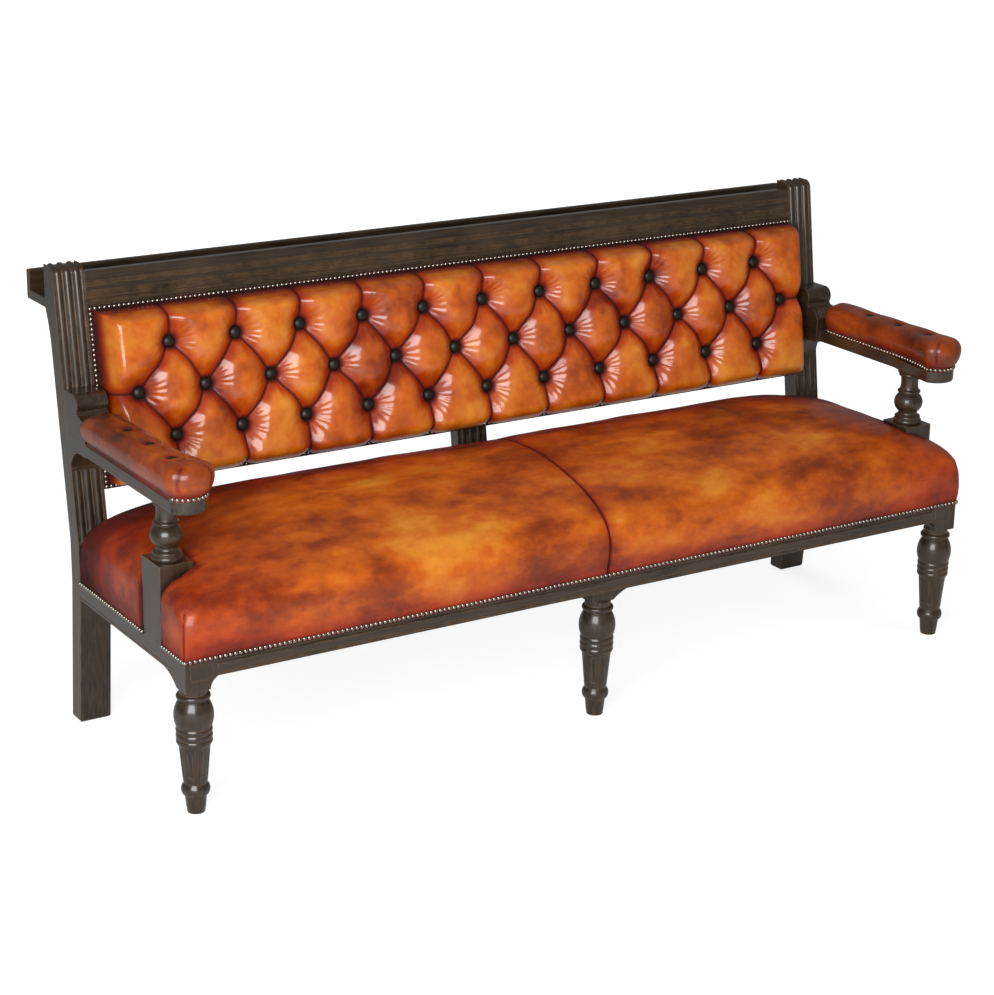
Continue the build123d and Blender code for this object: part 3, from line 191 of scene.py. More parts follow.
def makeWood(axis):
    material, tree, place = newMaterial("ebonised_wood_" + axis)
    stretch = [wood["stretch"] if axis == other else 1 for other in "xyz"]
    along = addNode(tree, "ShaderNodeMapping", {"Vector": place, "Scale": stretch})
    fibres, clouds, scuffs = (
        addNode(tree, "ShaderNodeTexNoise", {
            "Vector": where, "Scale": 1 / wood[size], "Detail": detail, "Roughness": rough})
        for where, size, detail, rough in (
            (along, "grainSize", 4, 0.6), (place, "cloudSize", 3, 0.5),
            (place, "scuffSize", 4, 0.65)))
    soft = addNode(tree, "ShaderNodeBevel", {"Radius": wood["wearReach"]}, samples=4)
    flat = addNode(tree, "ShaderNodeNewGeometry").outputs["True Normal"]
    turn = addNode(tree, "ShaderNodeVectorMath", {0: soft, 1: flat}, operation="DOT_PRODUCT")
    fibreShare, cloudShare, edge, scuffShare, rough = (
        addNode(tree, "ShaderNodeValToRGB", {"Fac": value}, wood[stops])
        for value, stops in ((fibres, "fibreShare"), (clouds, "cloudShare"),
                             (turn, "edgeTurn"), (scuffs, "scuffShare"), (clouds, "rough")))
    worn = addNode(tree, "ShaderNodeMath", {0: edge, 1: scuffShare}, operation="MULTIPLY",
                   use_clamp=True)
    colour = wood["dark"]
    for share, over in ((fibreShare, "light"), (cloudShare, "cloud"), (worn, "worn")):
        colour = addNode(tree, "ShaderNodeMix", {0: share, 6: colour, 7: wood[over]},
                         data_type="RGBA")
    relief = addNode(tree, "ShaderNodeBump", {
        "Height": fibres, "Strength": wood["grain"], "Distance": wood["grainDepth"],
        "Normal": soft})
    finishMaterial(tree, {
        "Base Color": colour, "Roughness": rough, "IOR": wood["ior"],
        "Coat Weight": wood["coat"], "Coat Roughness": wood["coatRough"], "Normal": relief})
    return material


# Small parts of one material with fine grit in its colour, shine and surface
smallFinish = {
    "light": "#9a9a98", "dark": "#6d6c6a", "size": 0.01, "rough": 0.35,
    "metallic": 0.0, "bump": 0.2, "depth": 0.0005}


def makeSmall(name, **changes):
    finish = {**smallFinish, **changes}
    material, tree, place = newMaterial(name)
    grit = addNode(tree, "ShaderNodeTexNoise", {
        "Vector": place, "Scale": 1 / finish["size"], "Detail": 3, "Roughness": 0.6})
    colour = addNode(tree, "ShaderNodeMix", {0: grit, 6: finish["dark"], 7: finish["light"]},
                     data_type="RGBA")
    rough = addNode(tree, "ShaderNodeValToRGB", {"Fac": grit}, (
        (0.3, finish["rough"] * 0.85), (0.7, finish["rough"] * 1.15)))
    relief = addNode(tree, "ShaderNodeBump", {
        "Height": grit, "Strength": finish["bump"], "Distance": finish["depth"]})
    finishMaterial(tree, {
        "Base Color": colour, "Roughness": rough, "Metallic": finish["metallic"],
        "Normal": relief})
    return material


# Plain woven cloth: threads over and under, drawn as two crossed waves
weave = {"fadeSize": 1 / 60, "fade": 0.5, "rough": 0.9, "bump": 0.5}


def makeWeave(name, light, dark, thread, axes):
    material, tree, place = newMaterial(name)
    warp, weft = (addNode(tree, "ShaderNodeTexWave", {"Vector": place, "Scale": 0.5 / thread},
                          bands_direction=axis).outputs["Fac"] for axis in axes)
    threads = addNode(tree, "ShaderNodeMath", {0: warp, 1: weft}, operation="MULTIPLY")
    faded = addNode(tree, "ShaderNodeTexNoise", {
        "Vector": place, "Scale": 1 / weave["fadeSize"], "Detail": 3, "Roughness": 0.5})
    tone = addNode(tree, "ShaderNodeMath", {0: faded, 1: weave["fade"], 2: threads},
                   operation="MULTIPLY_ADD")
    colour = addNode(tree, "ShaderNodeMix", {0: tone, 6: dark, 7: light}, data_type="RGBA")
    relief = addNode(tree, "ShaderNodeBump", {
        "Height": threads, "Strength": weave["bump"], "Distance": thread / 3})
    finishMaterial(tree, {
        "Base Color": colour, "Roughness": weave["rough"], "Normal": relief})
    return material


leathers = {name: makeLeather(name, hide) for name, hide in hides.items()}
woods = {axis: makeWood(axis) for axis in "xyz"}
# Hide buttons dyed black, with a soft dull shine
buttonLeather = makeSmall("black_hide_buttons", light="#1b1d18", dark="#050605", size=0.004,
                          rough=0.46)
# Pressed and nickel plated nail heads, rubbed and a little tarnished: warm small glints
nickel = makeSmall("nickel_nails", light="#d2cbbd", dark="#857e72", size=0.006, rough=0.26,
                   metallic=1.0, bump=0.05)
# Drawn steel of the springs and screws: cool dull grey
steel = makeSmall("plain_steel", metallic=1.0)
# Planed beech of the dowels and glue blocks, without polish: pale and dry
rawWood = makeSmall("raw_beech", light="#b98f5e", dark="#8a6238", size=0.012, rough=0.6)
# Coarse jute of the webbing and hessian, and close black cotton of the two covers
jute = makeWeave("jute_weave", "#a88a5c", "#5b452a", 0.0022, "XY")
blackCloth = makeWeave("black_lining", "#1c1b1a", "#060606", 0.0014, "XZ")
dustCloth = makeWeave("black_dust_cloth", "#1c1b1a", "#060606", 0.0014, "XY")
print("materials made")

dressing = (
    (woods["x"], ("front_seat_rail", "rear_seat_rail", "top_rail", "back_bottom_rail",
                  "ledge_board", "ledge_lip", "centre_leg_bracket")),
    (woods["y"], ("left_seat_rail", "right_seat_rail", "left_arm", "right_arm",
                  "centre_cross_rail", "left_side_bracket", "right_side_bracket")),
    (woods["z"], ("left_rear_post", "right_rear_post", "front_left_leg", "front_centre_leg",
                  "front_right_leg", "left_back_stile", "right_back_stile", "back_upright",
                  "centre_back_stile", "left_arm_support", "right_arm_support",
                  "left_arm_baluster", "right_arm_baluster")),
    (steel, ("ledge_screws", "seat_springs")),
    (rawWood, ("arm_dowels", "centre_leg_dowels", "glue_blocks")),
    (jute, ("seat_webbing", "back_webbing", "seat_hessian", "back_hessian")),
    (dustCloth, ("dust_cover",)), (blackCloth, ("outside_back",)))
for material, names in dressing:
    for name in names:
        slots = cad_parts[name].data.materials
        slots.clear()
        slots.append(material)
print("frame dressed")


# Meshes
def meshPiece(name, points, faces, material, paintedShade, wearAndShade=None):
    data = bpy.data.meshes.new(name)
    data.from_pydata([tuple(p) for p in points], [], [tuple(f) for f in faces])
    data.materials.append(material)
    data.validate()
    data.polygons.foreach_set("use_smooth", [True] * len(data.polygons))
    for label, values in (("paintedShade", paintedShade), ("wearAndShade", wearAndShade)):
        if values is not None:
            data.attributes.new(label, "FLOAT", "POINT").data.foreach_set(
                "value", np.asarray(values, dtype=np.float32))
    data.update()
    return addObject(name, data)


# Bands of faces between stacked loops
def bandFaces(loops):
    faces = []
    for lower, upper in zip(loops, loops[1:]):
        for i in range(len(lower)):
            k = (i + 1) % len(lower)
            faces.append((lower[i], lower[k], upper[k], upper[i]))
    return faces


# Bands that face the other way, closed by the last loop
def closeBehind(loops):
    return [f[::-1] for f in bandFaces(loops)] + [loops[-1][::-1]]


def gridRim(rows, columns):
    index = np.arange(rows * columns).reshape(rows, columns)
    return (list(index[0, :-1]) + list(index[:-1, -1]) + list(index[-1, :0:-1])
            + list(index[:0:-1, 0]))


def gridFaces(rows, columns):
    index = np.arange(rows * columns).reshape(rows, columns)
    return np.stack([index[:-1, :-1], index[:-1, 1:], index[1:, 1:], index[1:, :-1]],
                    axis=-1).reshape(-1, 4).tolist()


# From 0 at the start to 1 past the span, with soft ends
def rise(value, start, span):
    share = np.clip((value - start) / span, 0, 1)
    return share * share * (3 - 2 * share)


# From 0, steep at first and level at 1
def dome(value, power):
    return 1 - (1 - np.clip(value, 0, 1)) ** power


# 1 at zero, fading out past the width on both sides
def bell(value, width):
    return np.exp(-(value / width) ** 2)


# From the darkest share in a fold to 1 away from it
def lighten(value, darkest, start, span):
    return darkest + (1 - darkest) * rise(value, start, span)


# A calm wander between -1 and 1, the same on each run for a size and a seed
wandering = {"waves": 5, "stretch": (0.6, 1.5), "height": 3.2}


def wander(x, y, size, seed):
    dice, waves = np.random.default_rng(seed), wandering["waves"]
    total = 0
    for turn, phase, stretch in zip(dice.uniform(0, math.tau, waves),
                                    dice.uniform(0, math.tau, waves),
                                    dice.uniform(*wandering["stretch"], waves)):
        total = total + np.sin((x * math.cos(turn) + y * math.sin(turn)) * math.tau
                               / (size * stretch) + phase)
    return total / wandering["height"]


# The buttoned back in millimetres. Up the slope and outward are measured from the knee
# of the posts: button, pleat and crest are outward, the pocket is its half width, low
# and high edge and depth. Meeting sets how sharply pleats and edges join. Each over is
# a height with its reach, each painted shade its darkest share, start and span, and each
# wander a size and a seed. The painted shade darkens the pleats and hollows, the button
# wells, the less swollen hide, the nailed border and the hidden rear.
back = {
    "knee": (140.0, 385.0), "rake": 8.2, "halfWidth": 850.6, "low": 99.0, "high": 455.0,
    "trim": 0.3, "border": 9.4, "borderLift": 2.0, "pocket": (824.0, 126.0, 428.0, 4.4),
    "rear": 0.05, "pitch": 141.8, "rows": (374.5, 283.0, 191.5), "columns": 11,
    "button": 42.5, "pleat": 60.0, "crest": 76.4, "crestWave": 1.5, "crestWander": (170, 8),
    "reach": 44.0, "well": 66.0, "wellStart": 8, "wellFloor": 38, "puff": 2.2,
    "meeting": 5.0, "bend": 3.2, "bendWanders": ((130, 3), (120, 5)), "bendFree": 32,
    "gathers": 19, "gatherDepth": 1.15, "gatherPlace": 31, "gatherWidth": 15,
    "gatherShares": (0.6, 0.4), "gatherWander": (60, 12), "gatherSway": (2.1, 1.5, 3),
    "dip": 13.0, "dipPower": 6, "dipDepth": 1.5, "roll": 33.0, "rollPower": 2.6,
    "overTop": (3.0, 26), "overBottom": (11.0, 34), "overEnds": (4.0, 26),
    "overFrom": (6, 42), "overSwell": (1.3, 0.25), "crease": (0.24, 0, 4.4),
    "hollow": (0.82, 0, 22), "buttonShade": (0.18, 9, 15), "swellShade": (0.8, 0, 1),
    "edgeShade": (0.14, -1, 11), "rearShade": 0.2, "step": 2.7, "fineStep": 1.6,
    "fineMargin": 34}


def backPlace(x, up, out):
    rake = math.radians(back["rake"])
    y = back["knee"][0] + up * math.sin(rake) - out * math.cos(rake)
    z = back["knee"][1] + up * math.cos(rake) + out * math.sin(rake)
    return np.stack([x * mm + 0 * y, y * mm, z * mm], axis=-1)


# Three rows of buttons, the middle one with one more
def backButtons():
    counts = (back["columns"], back["columns"] + 1, back["columns"])
    return [[((i - (count - 1) / 2) * back["pitch"], row) for i in range(count)]
            for count, row in zip(counts, back["rows"])]


def backPleats():
    top, middle, bottom = backButtons()
    pleats = []
    for i in range(back["columns"]):
        for row in (top, bottom):
            pleats += [(row[i], middle[i]), (row[i], middle[i + 1])]
        pleats.append((top[i], (top[i][0], back["high"])))
        pleats.append((bottom[i], (bottom[i][0], back["low"])))
    for end, side in ((middle[0], -1), (middle[-1], 1)):
        pleats.append((end, (side * back["halfWidth"], end[1])))
    return pleats


# Even steps, finer near both ends
def backSteps(low, high):
    steps = [low]
    while steps[-1] < high - 1e-6:
        near = min(steps[-1] - low, high - steps[-1])
        step = back["fineStep"] if near < back["fineMargin"] else back["step"]
        steps.append(min(high, steps[-1] + step))
    return np.array(steps)


# Distance and direction from the nearest button, and its number
def nearestButton(x, up):
    away, angle, which = np.full(x.shape, 1e9), np.zeros(x.shape), np.zeros(x.shape)
    for i, (bx, bu) in enumerate(place for row in backButtons() for place in row):
        span = np.hypot(x - bx, up - bu)
        closer = span < away
        away = np.where(closer, span, away)
        angle = np.where(closer, np.arctan2(up - bu, x - bx), angle)
        which = np.where(closer, i, which)
    return away, angle, which


# Distance from all the pleats, joined smoothly where they meet, and from the nearest
def pleatDistances(x, up):
    total, nearest = np.zeros(x.shape), np.full(x.shape, 1e9)
    for (ax, au), (bx, bu) in backPleats():
        runX, runUp = bx - ax, bu - au
        along = ((x - ax) * runX + (up - au) * runUp) / (runX ** 2 + runUp ** 2)
        along = np.clip(along, 0, 1)
        span = np.hypot(x - ax - along * runX, up - au - along * runUp) + 0.02
        total += span ** -back["meeting"]
        nearest = np.minimum(nearest, span)
    return total ** (-1 / back["meeting"]), nearest


# The padded front: how far out each point lies, its light in the folds, and how full it is
def backRelief(x, up):
    button, meeting, puff = back["button"], back["meeting"], back["puff"]
    toButton, angle, which = nearestButton(x, up)
    # The pleats bend a little between the buttons
    free = (1 - bell(toButton, back["bendFree"])) * back["bend"]
    bendX, bendUp = (free * wander(x, up, *waves) for waves in back["bendWanders"])
    inward, nearest = pleatDistances(x + bendX, up + bendUp)
    swell = dome(inward / back["reach"], puff)
    swell *= dome((toButton - back["wellStart"]) / back["well"], puff)
    floor = button + (back["pleat"] - button) * (1 - bell(toButton, back["wellFloor"]))
    crest = back["crest"] + back["crestWave"] * wander(x, up, *back["crestWander"])
    out = floor + (crest - floor) * swell
    # Fans of small gathers round each button, strongest just outside it
    fan = bell(toButton - back["gatherPlace"], back["gatherWidth"])
    (even, uneven), (shift, sway, turns) = back["gatherShares"], back["gatherSway"]
    fan = fan * (even + uneven * wander(x, up, *back["gatherWander"])) * back["gatherDepth"]
    out += fan * np.sin(angle * back["gathers"] + which * shift
                        + sway * np.sin(angle * turns + which))
    # Round each button the hide dips under its edge
    dip = np.exp(-(toButton / back["dip"]) ** back["dipPower"])
    out = out * (1 - dip) + (button - back["dipDepth"]) * dip
    # The padding rolls over to a flat nailed border
    spans = (back["halfWidth"] - back["border"] - np.abs(x), up - back["low"] - back["border"],
             back["high"] - back["border"] - up)
    toEdge = sum(np.maximum(span, 0.01) ** -meeting for span in spans) ** (-1 / meeting)
    lift = back["borderLift"]
    out = lift + (out - lift) * dome(toEdge / back["roll"], back["rollPower"])
    # Painted shade: darker in the pleats and hollows, round the buttons, where the pillow swells
    # less and along the nailed border
    paintedShade = lighten(nearest, *back["crease"]) * lighten(nearest, *back["hollow"])
    paintedShade *= lighten(toButton, *back["buttonShade"]) * lighten(swell, *back["swellShade"])
    paintedShade *= lighten(toEdge, *back["edgeShade"])
    more, least = back["overSwell"]
    full = rise(out, *back["overFrom"]) * lighten(swell * more, least, 0, 1)
    return out, paintedShade, full


def makeBack():
    halfWidth, low, high = back["halfWidth"], back["low"], back["high"]
    x, up = np.meshgrid(backSteps(-halfWidth, halfWidth),
                        backSteps(low + back["trim"], high - back["trim"]))
    out, paintedShade, full = backRelief(x, up)
    # The pillows swell past the nailed edge, most of all along the bottom
    (over, reach), (under, underReach), (beside, besideReach) = (
        back[k] for k in ("overTop", "overBottom", "overEnds"))
    up = up + full * (over * bell(high - up, reach) - under * bell(up - low, underReach))
    x = x + np.sign(x) * full * bell(halfWidth - np.abs(x), besideReach) * beside
    x, up, out, shape = x.ravel(), up.ravel(), out.ravel(), x.shape
    points, paintedShades = list(backPlace(x, up, out)), list(paintedShade.ravel())
    faces, rim = gridFaces(*shape), gridRim(*shape)
    # The rear lies on the wood, with a shallow pocket inside its rim
    pocketX, pocketLow, pocketHigh, pocketDepth = back["pocket"]
    pocketUp = pocketLow + (up[rim] - low) / (high - low) * (pocketHigh - pocketLow)
    inner = (x[rim] * pocketX / halfWidth, pocketUp)
    loops = [rim]
    for ringX, ringUp, depth in ((x[rim], up[rim], back["rear"]), (*inner, back["rear"]),
                                 (*inner, pocketDepth)):
        loops.append(list(range(len(points), len(points) + len(rim))))
        points += list(backPlace(ringX, ringUp, depth))
        # The hidden rear gets dark painted shade
        paintedShades += [back["rearShade"]] * len(rim)
    faces += closeBehind(loops)
    return meshPiece("back_leather", points, faces, leathers["back"], paintedShades)


backPiece = makeBack()
print("back leather made", len(backPiece.data.polygons))


# A curve through rows of numbers, with more rows between them
def smoothRows(rows, times=3):
    rows = np.array(rows, dtype=float)
    padded = np.concatenate([rows[:1] * 2 - rows[1:2], rows, rows[-1:] * 2 - rows[-2:-1]])
    made = []
    for i in range(1, len(padded) - 2):
        a, b, c, d = padded[i - 1:i + 3]
        for k in range(times):
            t = k / times
            made.append(0.5 * (2 * b + (c - a) * t + (2 * a - 5 * b + 4 * c - d) * t * t
                               + (3 * b - a - 3 * c + d) * t ** 3))
    made.append(rows[-1])
    return np.array(made)


# Points of outlines stacked along smooth rows, and their numbers loop by loop
def stackLoops(rows, makeLoop):
    points, loops = [], []
    for z, *outline in smoothRows(rows):
        loop = makeLoop(*outline)
        loops.append(list(range(len(points), len(points) + len(loop))))
        points += [(x, y, z) for x, y in loop]
    return points, loops


# The seat in millimetres: each row is height, half width, front, rear and corner radius,
# up the skin and then underneath, in over the rails and up into the hollow over the
# springs. Each rise is a height where something begins, and its span, and each wave a
# depth, size and seed. The notch keeps clear of the arm supports, and is deeper above
# their feet.
seat = {
    "rows": ((302, 916.8, -335.8, 137, 2.6), (310, 916.9, -335.9, 137, 3),
             (318, 917.4, -338, 137, 7), (334, 918.6, -342, 137, 14),
             (354, 919.4, -345, 137, 20), (378, 919.6, -345.6, 137, 28),
             (400, 918, -339, 136, 37), (418, 909, -325, 134, 50), (434, 889, -303, 130, 68),
             (448, 860, -276, 124, 88), (460, 815, -246, 115, 102),
             (470, 765, -214, 101, 108), (478, 712, -184, 84, 108),
             (484, 655, -154, 63, 96), (488.5, 590, -126, 40, 76),
             (491.4, 520, -100, 18, 52)),
    "underRows": ((302.2, 915.3, -334.3, 136.8, 1.5), (312.4, 915.2, -334.2, 136.8, 1.5),
                  (312.4, 838.0, -286.0, 95.0, 4.0), (397.0, 838.0, -286.0, 95.0, 4.0)),
    "crown": 493.0, "longStep": 9.0, "shortStep": 3.0, "arcSteps": 7,
    "seamSteps": (0, 1.3, 2.6, 4.2, 6.5, 10, 15, 22), "halfRun": 905.0, "shortRun": 436,
    "middle": (0, -97, 330), "reach": (930, 240, 170), "waves": ((1.5, 330, 21), (0.7, 120, 22)),
    "waveRise": (325, 50), "topRise": (330, 60), "seam": ((3.6, 2.6), (2.2, 34)),
    "seamRise": (306, 18), "corner": (905, -322), "cornerFrom": (880, -285),
    "pleatAngle": 0.75, "pleatDepth": 3.4, "pleatWidth": 0.09, "pleatSide": (0.5, 0.24, 0.1),
    "pleatRise": (308, 20), "pleatFall": (390, 40), "notch": (-237.5, -158.5),
    "notchFoot": 878.4, "notchTop": 847.4, "notchRise": (386, 26), "notchLow": 300,
    "notchPull": (3.5, 7, 850), "pullRise": (316, 10), "railTop": 312.4, "rearRail": 100,
    "railEnd": 915.2, "underEnd": 915.25}
# Painted shade and wear of the seat. Each shade has a darkest share, start and span: low
# down, at the rail, at the ends and to the rear. Then shares with their widths or spans:
# more painted shade in the seam, beside the notches, in the corner pleats and on the
# hidden underside, the paler worn front roll, and painted shade at the rear and at the
# ends under the arms.
seatShadeAndWear = {
    "low": (0.74, 305, 62), "lowWave": (9, 150, 41), "rail": (0.5, 303, 16),
    "end": (0.8, -900, 300), "rear": (0.5, -130, 210), "seam": ((0.55, 3.5), (0.16, 20)),
    "notch": (0.6, 9, 838), "pleat": (0.5, 0.1), "hidden": 0.1, "front": (0.18, -290, 115),
    "frontRise": (312, 50), "patchy": (0.25, 420, 51), "right": (0.75, 150, 500),
    "seatRearShade": (0.07, 10, 110), "seatEndShade": (0.05, 760, 120), "endFrom": (-250, 120)}


# Shares of a long side, fine at the seam in the middle
def longShares():
    near = list(seat["seamSteps"])
    while near[-1] < seat["halfRun"] - seat["longStep"]:
        near.append(near[-1] + seat["longStep"])
    near = np.array(near[:-1] + [seat["halfRun"]]) / seat["halfRun"]
    return (np.concatenate([-near[:0:-1], near]) + 1) / 2


seatSides = (longShares(), np.linspace(0, 1, round(seat["shortRun"] / seat["shortStep"]) + 1))


# A rounded rectangle; a long and a short side each take half of the corner between them
def seatLoop(halfWidth, front, rear, radius):
    centreX, lowY, highY = halfWidth - radius, front + radius, rear - radius
    corners = ((-centreX, lowY), (centreX, lowY), (centreX, highY), (-centreX, highY))
    arcSteps = seat["arcSteps"]
    marks = []
    for i in range(4):
        (ax, ay), (bx, by), start = corners[i], corners[(i + 1) % 4], (225 + 90 * i) % 360
        marks += [(ax, ay, start + 45 * k / arcSteps) for k in range(arcSteps)]
        marks += [(ax + (bx - ax) * t, ay + (by - ay) * t, start + 45) for t in seatSides[i % 2]]
        marks += [(bx, by, start + 45 + 45 * k / arcSteps) for k in range(1, arcSteps)]
    return np.array([(x + radius * math.cos(math.radians(angle)),
                      y + radius * math.sin(math.radians(angle))) for x, y, angle in marks])


# Fills a loop with a grid that follows its four sides
def fillLoop(loop, longCount, shortCount):
    front = loop[:longCount + 1]
    right = loop[longCount:longCount + shortCount + 1]
    rear = loop[longCount + shortCount:2 * longCount + shortCount + 1][::-1]
    left = np.concatenate([loop[2 * longCount + shortCount:], loop[:1]])[::-1]
    u = np.linspace(0, 1, longCount + 1)[None, :, None]
    v = np.linspace(0, 1, shortCount + 1)[:, None, None]
    flat = (1 - v) * front[None] + v * rear[None] + (1 - u) * left[:, None] + u * right[:, None]
    flat -= ((1 - u) * (1 - v) * front[0] + u * (1 - v) * front[-1] + (1 - u) * v * rear[0]
             + u * v * rear[-1])
    return flat


# The skin of stacked loops with a grid on top, and the numbers of its lowest loop
def seatSkin():
    longCount, shortCount = (len(side) - 1 + 2 * seat["arcSteps"] for side in seatSides)
    points, loops = stackLoops(seat["rows"], seatLoop)
    rim = np.array([points[i][:2] for i in loops[-1]])
    top = fillLoop(rim, longCount, shortCount).reshape(-1, 2)
    ids = -np.ones(len(top), dtype=int)
    ids[gridRim(shortCount + 1, longCount + 1)] = loops[-1]
    for i in np.where(ids < 0)[0]:
        ids[i] = len(points)
        points.append((*top[i], seat["crown"]))
    faces = [tuple(ids[k] for k in f) for f in gridFaces(shortCount + 1, longCount + 1)]
    return np.array(points), faces + bandFaces(loops), loops[0]


# The shaped skin, with its distance from the notches and the angle from a corner pleat
def shapeSeat(points):
    x, y, z = points.T.copy()
    # Slow waves of the stuffing, outward from the middle of the cushion
    away = np.stack([(value - middle) / reach for value, middle, reach
                     in zip((x, y, z), seat["middle"], seat["reach"])], axis=-1)
    away /= np.linalg.norm(away, axis=-1, keepdims=True) + 1e-9
    (slow, *slowWander), (quick, *quickWander) = seat["waves"]
    wave = rise(z, *seat["waveRise"]) * (slow * wander(x, y + z, *slowWander)
                                         + quick * wander(x, y - z, *quickWander))
    # The middle seam draws the hide down
    seam = sum(depth * bell(x, width) for depth, width in seat["seam"])
    wave -= seam * rise(z, *seat["seamRise"])
    # A gathered pleat at each front corner, with a low fold on both its sides
    (cornerX, cornerY), (fromX, fromY) = seat["corner"], seat["cornerFrom"]
    fromPleat = np.arctan2(np.abs(x) - cornerX, cornerY - y) - seat["pleatAngle"]
    fromPleat = np.where((np.abs(x) > fromX) & (y < fromY), fromPleat, np.inf)
    share, place, width = seat["pleatSide"]
    pleat = bell(fromPleat, seat["pleatWidth"]) - share * bell(np.abs(fromPleat) - place, width)
    wave -= (seat["pleatDepth"] * pleat * rise(z, *seat["pleatRise"])
             * (1 - rise(z, *seat["pleatFall"])))
    x += away[:, 0] * wave
    y += away[:, 1] * wave
    z += away[:, 2] * wave * rise(z, *seat["topRise"])
    # Notches round the arm supports, with the hide pulled in beside them
    (low, high), foot = seat["notch"], seat["notchFoot"]
    limit = foot + (seat["notchTop"] - foot) * rise(z, *seat["notchRise"])
    inside = (y > low) & (y < high) & (z > seat["notchLow"])
    gap = np.maximum(np.maximum(low - y, y - high), 0)
    depth, width, fromX = seat["notchPull"]
    x = np.sign(x) * (np.abs(x) - depth * bell(gap, width) * (np.abs(x) > fromX)
                      * rise(z, *seat["pullRise"]))
    x = np.where(inside & (np.abs(x) > limit), np.sign(x) * limit, x)
    # Nothing hangs below the rails at the rear and at the notches
    onRail = (y > seat["rearRail"]) & (np.abs(x) < seat["railEnd"]) | inside
    z = np.where(onRail, np.maximum(z, seat["railTop"]), z)
    return x, y, z, gap, fromPleat


def seatTones(x, y, z, gap, fromPleat):
    # Painted shade: darker low down, at the rail, at the ends, to the rear, in the seam, beside
    # the notches and in the corner pleats
    height, *lowWander = seatShadeAndWear["lowWave"]
    paintedShade = lighten(z + height * wander(x, z, *lowWander), *seatShadeAndWear["low"])
    for value, place in ((z, "rail"), (-np.abs(x), "end"), (-y, "rear")):
        paintedShade *= lighten(value, *seatShadeAndWear[place])
    paintedShade *= 1 - sum(share * bell(x, width) for share, width in seatShadeAndWear["seam"])
    share, width, fromX = seatShadeAndWear["notch"]
    paintedShade *= 1 - share * bell(gap, width) * (np.abs(x) > fromX)
    share, width = seatShadeAndWear["pleat"]
    paintedShade *= 1 - share * bell(fromPleat, width)
    # Worn paler along the front roll, most of all at the left, with painted shade at the rear and
    # at the ends under the arms
    (share, front, width), (patchy, *spots) = seatShadeAndWear["front"], seatShadeAndWear["patchy"]
    wearAndShade = share * bell(y - front, width) * rise(z, *seatShadeAndWear["frontRise"])
    wearAndShade *= 1 - patchy * (1 - wander(x, y, *spots))
    fade, rear, end = (share * rise(value, *span) for value, (share, *span) in (
        (x, seatShadeAndWear["right"]), (y, seatShadeAndWear["seatRearShade"]), (np.abs(x), seatShadeAndWear["seatEndShade"])))
    wearAndShade = wearAndShade * (1 - fade) - rear - end * rise(y, *seatShadeAndWear["endFrom"])
    return paintedShade, wearAndShade


def makeSeat():
    points, faces, base = seatSkin()
    x, y, z, gap, fromPleat = shapeSeat(points)
    paintedShade, wearAndShade = seatTones(x, y, z, gap, fromPleat)
    # The underside
    (low, high), fromX = seat["notch"], seat["notchPull"][2]
    beside = (y[base] > low) & (y[base] < high) & (np.abs(x[base]) > fromX)
    rings, loops = [np.stack([x, y, z], axis=-1)], [base]
    for height, *outline in seat["underRows"]:
        ringX, ringY = seatLoop(*outline).T
        notched = beside & (np.abs(ringX) > seat["notchFoot"])
        ringX = np.where(notched, np.copysign(seat["notchFoot"], ringX), ringX)
        raised = notched | (ringY > seat["rearRail"]) & (np.abs(ringX) < seat["underEnd"])
        ringZ = np.where(raised, max(height, seat["railTop"]), height)
        loops.append([k + len(x) + len(base) * (len(rings) - 1) for k in range(len(base))])
        rings.append(np.stack([ringX, ringY, ringZ], axis=-1))
    faces += closeBehind(loops)
    points = np.concatenate(rings)
    hidden = len(points) - len(x)
    # The hidden underside gets dark painted shade and no wear
    return meshPiece("seat_leather", points * mm, faces, leathers["seat"],
                     [*paintedShade, *[seatShadeAndWear["hidden"]] * hidden], [*wearAndShade, *[0.0] * hidden])


seatPiece = makeSeat()
print("seat leather made", len(seatPiece.data.polygons))


# The arms in millimetres. Pads follow their outline, let out or drawn in by grow: each
# row is height and grow. Counts are steps of the straight side, nose, flare, rounded
# rear corner and rear end. Each rise is a height where something begins, and its span.
arm = {
    "outer": 915.0, "noseWidth": 73.0, "waist": 54.0, "noseTip": -317.0, "bow": 24.0,
    "flare": 130.0, "flareHollow": 4.0, "rear": 78.5, "rearRound": 28.0,
    "counts": (64, 26, 22, 8, 10), "buttonX": 886.5, "buttons": (-243.0, -147.0, -51.0),
    "rows": ((599.1, -0.3), (608.4, -0.3), (610.5, 2.4), (614, 5.4), (620, 8.4), (628, 11),
             (637, 12.3), (646, 12), (653, 9.6), (658.5, 5.6), (662.5, 0.4), (665.5, -6.5),
             (667.4, -15)), "crown": 668.8, "crownPower": 0.6, "dimple": ((8.2, 15), (0.9, 30)),
    "dimpleRise": (622, 30), "puckers": (0.5, 9, 17, 7), "noseCentre": (878, -296),
    "noseFrom": (283, 14), "gathers": (0.55, 2.6), "gatherDepth": 2.6, "gatherWidth": 0.07,
    "gatherRise": (611, 14), "gatherFall": (660, 8), "wave": (0.7, 70, 31),
    "waveRise": (616, 20), "rearThin": 9.0, "rearReach": 34, "rearPower": 1.6,
    # Painted shade low on the pad, in the button dimples and in the gathers: darkest share with
    # start and span, or with width, and a share
    "rearRise": (630, 30), "lowShade": (0.5, 603, 26), "buttonShade": (0.75, 11),
    "gatherShade": 0.5}


